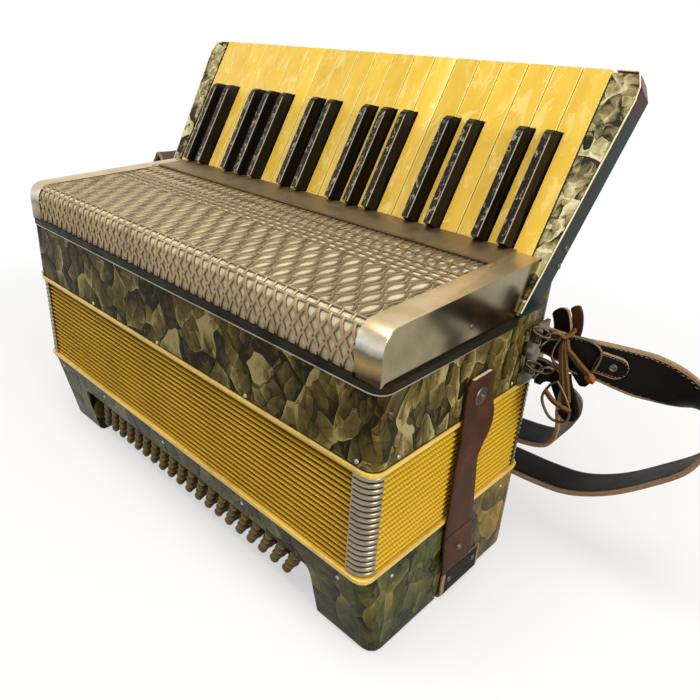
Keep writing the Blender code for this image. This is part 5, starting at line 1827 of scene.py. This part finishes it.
def make_cheeks():
    """Pearloid fronts, dark sides, cream piping, pale tops and screws on the flared arms."""
    for label, side in ENDS:
        node = f"cheek_{label}"
        repaint("cheek_side", node)
        soften(node, 0.0009, 2, 40)
        rows = []
        for i in range(CHEEK_ROWS + 1):
            along = CHEEK_FOOT + (KEY_END - 0.0025 - CHEEK_FOOT) * i / CHEEK_ROWS
            reaches = (CHEEK_INNER + 0.0006, cheek_edge(along) - 0.0012)
            rows.append([on_keys(side * reach, along, 0.0) for reach in reaches])
        bm = sheet(rows, KEY_OUT, 0.0009)
        piece(bm, f"cheek_face_{label}", "cheek_face", TREBLE, node, split_angle=30)
        path = []
        for i in range(19):
            along = 0.004 + (KEY_END - 0.0006 - 0.004) * i / 18
            path.append(on_keys(side * (cheek_edge(along) - 0.0004), along, 0.0004))
        wires(f"cheek_piping_{label}", [path], 0.0006, "piping", TREBLE, "treble_binding")
        bm = bmesh.new()
        reaches = (CHEEK_INNER + 0.001, cheek_edge(KEY_END) - 0.0016)
        places = [on_keys(side * reach, KEY_END + 0.0003, -0.0015) for reach in reaches]
        verts = [bm.verts.new(place) for place in places]
        made = bmesh.ops.extrude_edge_only(bm, edges=[bm.edges.new(verts)])["geom"]
        bmesh.ops.translate(bm, vec=KEY_OUT * -0.0165, verts=picked(made, VERT))
        bmesh.ops.solidify(bm, geom=bm.faces[:], thickness=0.0006)
        piece(bm, f"cheek_top_{label}", "cheek_top", TREBLE, node, smooth=False)
        bm = bmesh.new()
        for along, above in ((0.056, -0.0135), (0.044, -0.0165)):
            place = on_keys(side * cheek_edge(along), along, above)
            add_screw(bm, place, (side, 0, 0.05), 0.0024, 0.001, along * 40)
        piece(bm, f"cheek_screws_{label}", "pewter", TREBLE, FITTINGS)


def cheek_edge(along):
    """Outer edge of a cheek's front, with its corner cut off at the top."""
    cut = max(0.0, along - (KEY_END - CHAMFER_LENGTH)) / CHAMFER_LENGTH
    return HALF + CHEEK_FLARE * along / KEY_END - CHAMFER_WIDTH * cut


class ACCORDION_OT_buttons(bpy.types.Operator):
    """Bass buttons with rounded tips on the board that guides them"""

    bl_idname = "accordion.buttons"
    bl_label = "Bass buttons"

    def execute(self, context):
        repaint("wood", "button_board")
        for row in range(BUTTON_ROWS):
            make_button_row(context.scene.accordion_sizes.button_radius, row)
        make_air_button()
        return {"FINISHED"}


def make_button_row(radius, row):
    """Twenty turned buttons on their rail."""
    profile = [(radius * share, -BUTTON_TIP - depth) for share, depth in BUTTON_PROFILE]
    start = Vector((0, FRONT + BASS_SLANT, 0))
    rise = BASS_UP * (BUTTON_LOWEST + row * BUTTON_ROW_PITCH)
    shift = (row - (BUTTON_ROWS - 1) / 2) * BUTTON_STAGGER
    half = (BUTTON_COLUMNS - 1) * BUTTON_PITCH / 2
    bm = bmesh.new()
    for column in range(BUTTON_COLUMNS):
        x = shift - half + column * BUTTON_PITCH
        add_turned(bm, profile, start + Vector((x, 0, 0)) + rise, BASS_OUT, 14)
    made = bmesh.ops.create_cube(bm, size=1.0)["verts"]
    bmesh.ops.scale(bm, vec=(2 * (half + 0.003), 0.0024, 0.0155), verts=made)
    turn = Matrix((BASS_UP.cross(BASS_OUT), BASS_UP, BASS_OUT)).transposed().to_4x4()
    spot = start + Vector((shift, 0, 0)) + rise - BASS_OUT * BUTTON_RAIL_DEPTH
    bmesh.ops.transform(bm, matrix=Matrix.Translation(spot) @ turn, verts=made)
    node = f"button_row_{row + 1}"
    piece(bm, f"buttons_{row + 1}", "button", node, node, node)


def make_air_button():
    """Rounded air button on the back wall."""
    low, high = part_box("air_button")
    tip = ((0, 0), (0.0025, -0.0002), (0.0042, -0.0008), (0.0049, -0.0018))
    foot = ((0.0049, 0.004), (0.0069, 0.004), (0.0069, 0.0056), (0.0049, 0), (0, 0))
    profile = [(r, high.y + h) for r, h in tip] + [(r, low.y + h) for r, h in foot]
    centre = (low + high) / 2
    bm = bmesh.new()
    add_turned(bm, profile, (centre.x, 0, centre.z), (0, 1, 0))
    piece(bm, "air_button_cap", "button", "air_button", "air_button", "air_button")


class ACCORDION_OT_straps(bpy.types.Operator):
    """Shoulder straps, hand strap and bellows strap with their fittings"""

    bl_idname = "accordion.straps"
    bl_label = "Straps"

    def execute(self, context):
        make_bellows_strap()
        make_hand_strap()
        make_shoulder_straps()
        path, _, across = strap_course(UPPER_HEIGHT, UPPER_COURSE)
        make_tab(path, across)
        make_buckles(path, across)
        make_laces()
        make_brackets()
        return {"FINISHED"}


def make_bellows_strap():
    """Brown strap over the end of the bellows with its washer and stud."""
    node = "bellows_strap"
    low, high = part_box("bellows_strap")
    inner = low.x
    centre = (low.y + high.y) / 2
    course = BELLOWS_STRAP_COURSE
    path = smooth_path([(inner + off, centre + y, z) for z, off, _, y in course], 4)
    widths = smooth_values([width for _, _, width, _ in course], 4)
    bm = bmesh.new()
    add_strap(bm, path, widths, 0.0021, (0, 1, 0), 0.0, 0.0)
    piece(bm, "bellows_strap_leather", "brown", node, node, node, split_angle=50)
    bm = bmesh.new()
    add_turned(bm, STUD_PROFILE, (inner + 0.0021, centre - 0.0045, 0.1768), (1, 0, 0), 24)
    add_turned(bm, RIVET_PROFILE, (inner + 0.0024, centre + 0.001, 0.0470), (1, 0, 0))
    piece(bm, "bellows_strap_studs", "pewter", node, FITTINGS)
    bm = bmesh.new()
    places = [centre - 0.0022 + 0.0165 * (i / 6 - 1) for i in range(13)]
    seam = [Vector((inner + 0.0022, y, 0.0652)) for y in places]
    add_strap(bm, seam, [0.0007] * 13, 0.0006, (0, 0, 1))
    piece(bm, "bellows_strap_seam", "dark", node, node, split_angle=50)


def make_hand_strap():
    """Leather hand strap with stitched edges, and the screws that hold it."""
    low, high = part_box("hand_strap")
    face = high.x - 0.00125
    level = low.z + 0.00125
    centre = (low.y + high.y) / 2
    side = [
        (face, high.z - 0.0003),
        (face, 0.016),
        (face, 0.0065),
        (face - 0.0012, level + 0.0016),
        (face - 0.0045, level),
        (face - 0.03, level),
        (0.1, level + 0.0012),
    ]
    course = side + [(0, level + 0.0018)] + [(-x, z) for x, z in reversed(side)]
    path = smooth_path([(x, centre, z) for x, z in course], 5)
    widths = [high.y - low.y - 0.0004] * len(path)
    across = (0, -1, 0)
    bm = bmesh.new()
    add_strap(bm, path, widths, 0.0022, across)
    piece(bm, "hand_strap_leather", "black", BASS, "hand_strap", "hand_strap", split_angle=50)
    rows = stitch_rows(path, widths, across, 0.86, 0.0042, 0.0011)
    wires("hand_strap_stitches", rows, 0.0003, "thread", BASS, "hand_strap")
    bm = bmesh.new()
    for sign in (-1, 1):
        for y in (-0.016, 0.016):
            place = (sign * (face + 0.0009), centre + y, 0.0180)
            add_screw(bm, place, (sign, 0, 0), 0.0026, 0.0010, y * 60)
    piece(bm, "hand_strap_screws", "pewter", BASS, FITTINGS)


def strap_course(height, course):
    """Path of a shoulder strap with its widths and the way across it at each point."""
    low_end, run, high_end = course
    depth = STRAP_FAR - BRACKET_Y
    points = []
    for side, end in ((1, low_end), (-1, high_end)):
        for out, back, rise, turn in end:
            place = (side * (STRAP_END + out), BRACKET_Y + depth * back, height + rise)
            points.append((place, turn))
    middle = [((STRAP_END * share, STRAP_FAR, height + rise), 0) for share, rise in run]
    points[len(low_end) : len(low_end)] = middle
    path = smooth_path([place for place, _ in points], 6)
    turns = [math.radians(turn) for turn in smooth_values([turn for _, turn in points], 6)]
    across = [(0, math.cos(turn), -math.sin(turn)) for turn in turns]
    shares = [(place.y - BRACKET_Y) / depth / FULL_WIDTH_SHARE for place in path]
    grown = STRAP_WIDE - STRAP_NARROW
    return path, [STRAP_NARROW + grown * min(1, max(0, share)) for share in shares], across


def make_shoulder_straps():
    """Two padded leather straps, the upper one stitched along both edges."""
    for label, height, course in STRAPS:
        node = f"shoulder_strap_{label}"
        path, widths, across = strap_course(height, course)
        bm = bmesh.new()
        add_strap(bm, path, widths, STRAP_BODY, across, 0.3)
        piece(bm, f"{node}_leather", "black", node, node, node, split_angle=50)
        if label == "upper":
            rows = stitch_rows(path, widths, across, 0.84, 0.0032, 0.0017)
            wires(f"{node}_stitches", rows, 0.00022, "thread", node, node)


def knot_point(place):
    """A point given by its reach out of the strap's end, depth and rise over the upper strap."""
    out, back, rise = place
    return Vector((STRAP_END + out, BRACKET_Y + back, UPPER_HEIGHT + rise))


def nearest(path, reach):
    """Which point of a path lies nearest to a reach out of the strap's end."""
    return min(range(len(path)), key=lambda i: abs(path[i].x - STRAP_END - reach))


def add_tip(bm, places, width, thickness, across, rounding=0.45, edge=0.5):
    """A short strip of leather through a few places, its far end rounded off."""
    path = smooth_path([knot_point(place) for place in places], 6)
    total = sum((b - a).length for a, b in zip(path, path[1:]))
    widths = []
    gone = 0.0
    for i, place in enumerate(path):
        gone += (place - path[i - 1]).length if i else 0.0
        left = min(1.0, (total - gone) / (width * rounding))
        widths.append(width * max(0.12, math.sqrt(1 - (1 - left) ** 2)))
    add_strap(bm, path, widths, thickness, across, 0.0, edge)
    return path, widths


def make_tab(path, across):
    """Stitched tab on the upper strap's way out, with its eyelet."""
    node = "shoulder_strap_upper"
    start = knot_point((0, 0, 0))
    places = [
        path[i] + strap_frame(path, across, i)[1] * 0.0030 - start
        for i in range(WAY_OUT)
        if 0.030 < path[i].x - STRAP_END < 0.056
    ]
    down = (0, 0, -1)
    bm = bmesh.new()
    tab, widths = add_tip(bm, places, 0.0165, 0.0018, down)
    piece(bm, "strap_tab", "black", node, node, split_angle=50)
    rows = stitch_rows(tab, widths, down, 0.76, 0.0022, 0.0010)
    wires("strap_tab_stitches", rows, 0.0002, "thread", node, node)
    eye = nearest(tab, 0.0445)
    up = strap_frame(tab, down, eye)[1]
    bm = bmesh.new()
    add_turned(bm, EYELET_PROFILE, tab[eye] + up * 0.0008, up)
    piece(bm, "strap_eyelet", "pewter", node, FITTINGS)


def make_buckles(path, across):
    """Buckle of each shoulder strap and the links beside it."""
    hold = nearest(path[:WAY_OUT], 0.0225)
    side, up = strap_frame(path, across, hold)
    way = side.cross(up)
    loop = []
    for c, s in circle(28):
        reach = way * (0.0150 * math.copysign(abs(c) ** 0.7, c))
        reach += side * (0.0122 * math.copysign(abs(s) ** 0.7, s))
        loop.append(path[hold] + reach + up * (0.0042 + 0.0012 * s))
    wires("strap_buckle_upper", [loop], 0.0011, "pewter", "shoulder_strap_upper", FITTINGS)
    loop = smooth_path([knot_point(place) for place in LOWER_BUCKLE], 4)
    wires("strap_buckle_lower", [loop], 0.0010, "pewter", "shoulder_strap_lower", FITTINGS)
    for strap, rise in (("upper", 0.0090), ("lower", -0.0170)):
        links = []
        for out, reach, lean, aside in (
            (0.0024, 0.0062, (0.9, 0.2, -0.25), (0, 0.9, 0.4)),
            (0.0104, 0.0052, (0.9, 0.2, 0.35), (0, -0.5, 0.85)),
        ):
            middle = knot_point((out, -0.009, rise))
            long = Vector(lean).normalized() * reach
            wide = Vector(aside) * 0.0034
            links.append([middle + long * c + wide * s for c, s in circle(20)])
        wires(f"strap_links_{strap}", links, 0.0009, "pewter", f"shoulder_strap_{strap}", FITTINGS)


def make_laces():
    """Strap tips and rawhide laces at the low-note end."""
    for (name, finish, strap, width, face, rounding, edge), places in TIPS:
        node = f"shoulder_strap_{strap}"
        bm = bmesh.new()
        add_tip(bm, places, width, TIP_BODY, (face, 0, -0.3), rounding, edge)
        piece(bm, f"strap_tip_{name}", finish, node, node, split_angle=50)
    node = "shoulder_strap_upper"
    bm = bmesh.new()
    for width, places in LACES:
        path = smooth_path([knot_point(place) for place in places], 4)
        add_strap(bm, path, [width] * len(path), LACE_BODY, LACE_LEAN)
    piece(bm, "strap_laces", "rawhide", node, node, split_angle=50)
    bm = bmesh.new()
    path = smooth_path([knot_point(place) for place in LACE_END], 3)
    add_strap(bm, path, LACE_END_WIDTHS, LACE_END_BODY, LACE_LEAN)
    piece(bm, "strap_lace_end", "frayed", node, node, split_angle=50)


def make_brackets():
    """Brackets, and the wire ring that each strap hangs on."""
    for label, side in ENDS:
        node = f"strap_bracket_{label}"
        repaint("bracket", node)
        soften(node, 0.0006, 2, 40)
        for strap, height, _ in STRAPS:
            middle = Vector((side * (STRAP_END + 0.0045), BRACKET_Y, height))
            loop = [
                middle + Vector((0.0022 * c * side, 0.0105 * s, 0.0042 * c)) for c, s in circle(24)
            ]
            name = f"strap_ring_{strap}_{label}"
            wires(name, [loop], 0.0009, "pewter", f"shoulder_strap_{strap}", node)


class ACCORDION_PT_panel(bpy.types.Panel):
    """Buttons and values of the accordion"""

    bl_idname = "ACCORDION_PT_panel"
    bl_label = "Accordion"
    bl_space_type = "VIEW_3D"
    bl_region_type = "UI"
    bl_category = "Accordion"

    def draw(self, context):
        layout = self.layout
        for operator in OPERATORS:
            layout.operator(operator.bl_idname)
        for group in (context.scene.accordion_sizes, context.scene.accordion_colours):
            column = layout.column(align=True)
            for name in group.bl_rna.properties.keys():
                if name not in {"rna_type", "name"}:
                    column.prop(group, name)


OPERATORS = (
    ACCORDION_OT_stage,
    ACCORDION_OT_casings,
    ACCORDION_OT_bellows,
    ACCORDION_OT_grille,
    ACCORDION_OT_keyboard,
    ACCORDION_OT_buttons,
    ACCORDION_OT_straps,
)
CLASSES = (AccordionSizes, AccordionColours, *OPERATORS, ACCORDION_PT_panel)


def register():
    """Registers the add-on's classes and its values on the scene."""
    for cls in CLASSES:
        bpy.utils.register_class(cls)
    bpy.types.Scene.accordion_sizes = PointerProperty(type=AccordionSizes)
    bpy.types.Scene.accordion_colours = PointerProperty(type=AccordionColours)


def unregister():
    """Takes the add-on's classes and values away again."""
    del bpy.types.Scene.accordion_colours
    del bpy.types.Scene.accordion_sizes
    for cls in reversed(CLASSES):
        bpy.utils.unregister_class(cls)


def main():
    """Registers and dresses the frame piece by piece."""
    register()
    build_materials(bpy.context.scene)
    bpy.ops.accordion.stage()
    bpy.ops.accordion.casings()
    bpy.ops.accordion.bellows()
    bpy.ops.accordion.grille()
    bpy.ops.accordion.keyboard()
    bpy.ops.accordion.buttons()
    bpy.ops.accordion.straps()


if __name__ == "__main__":
    main()
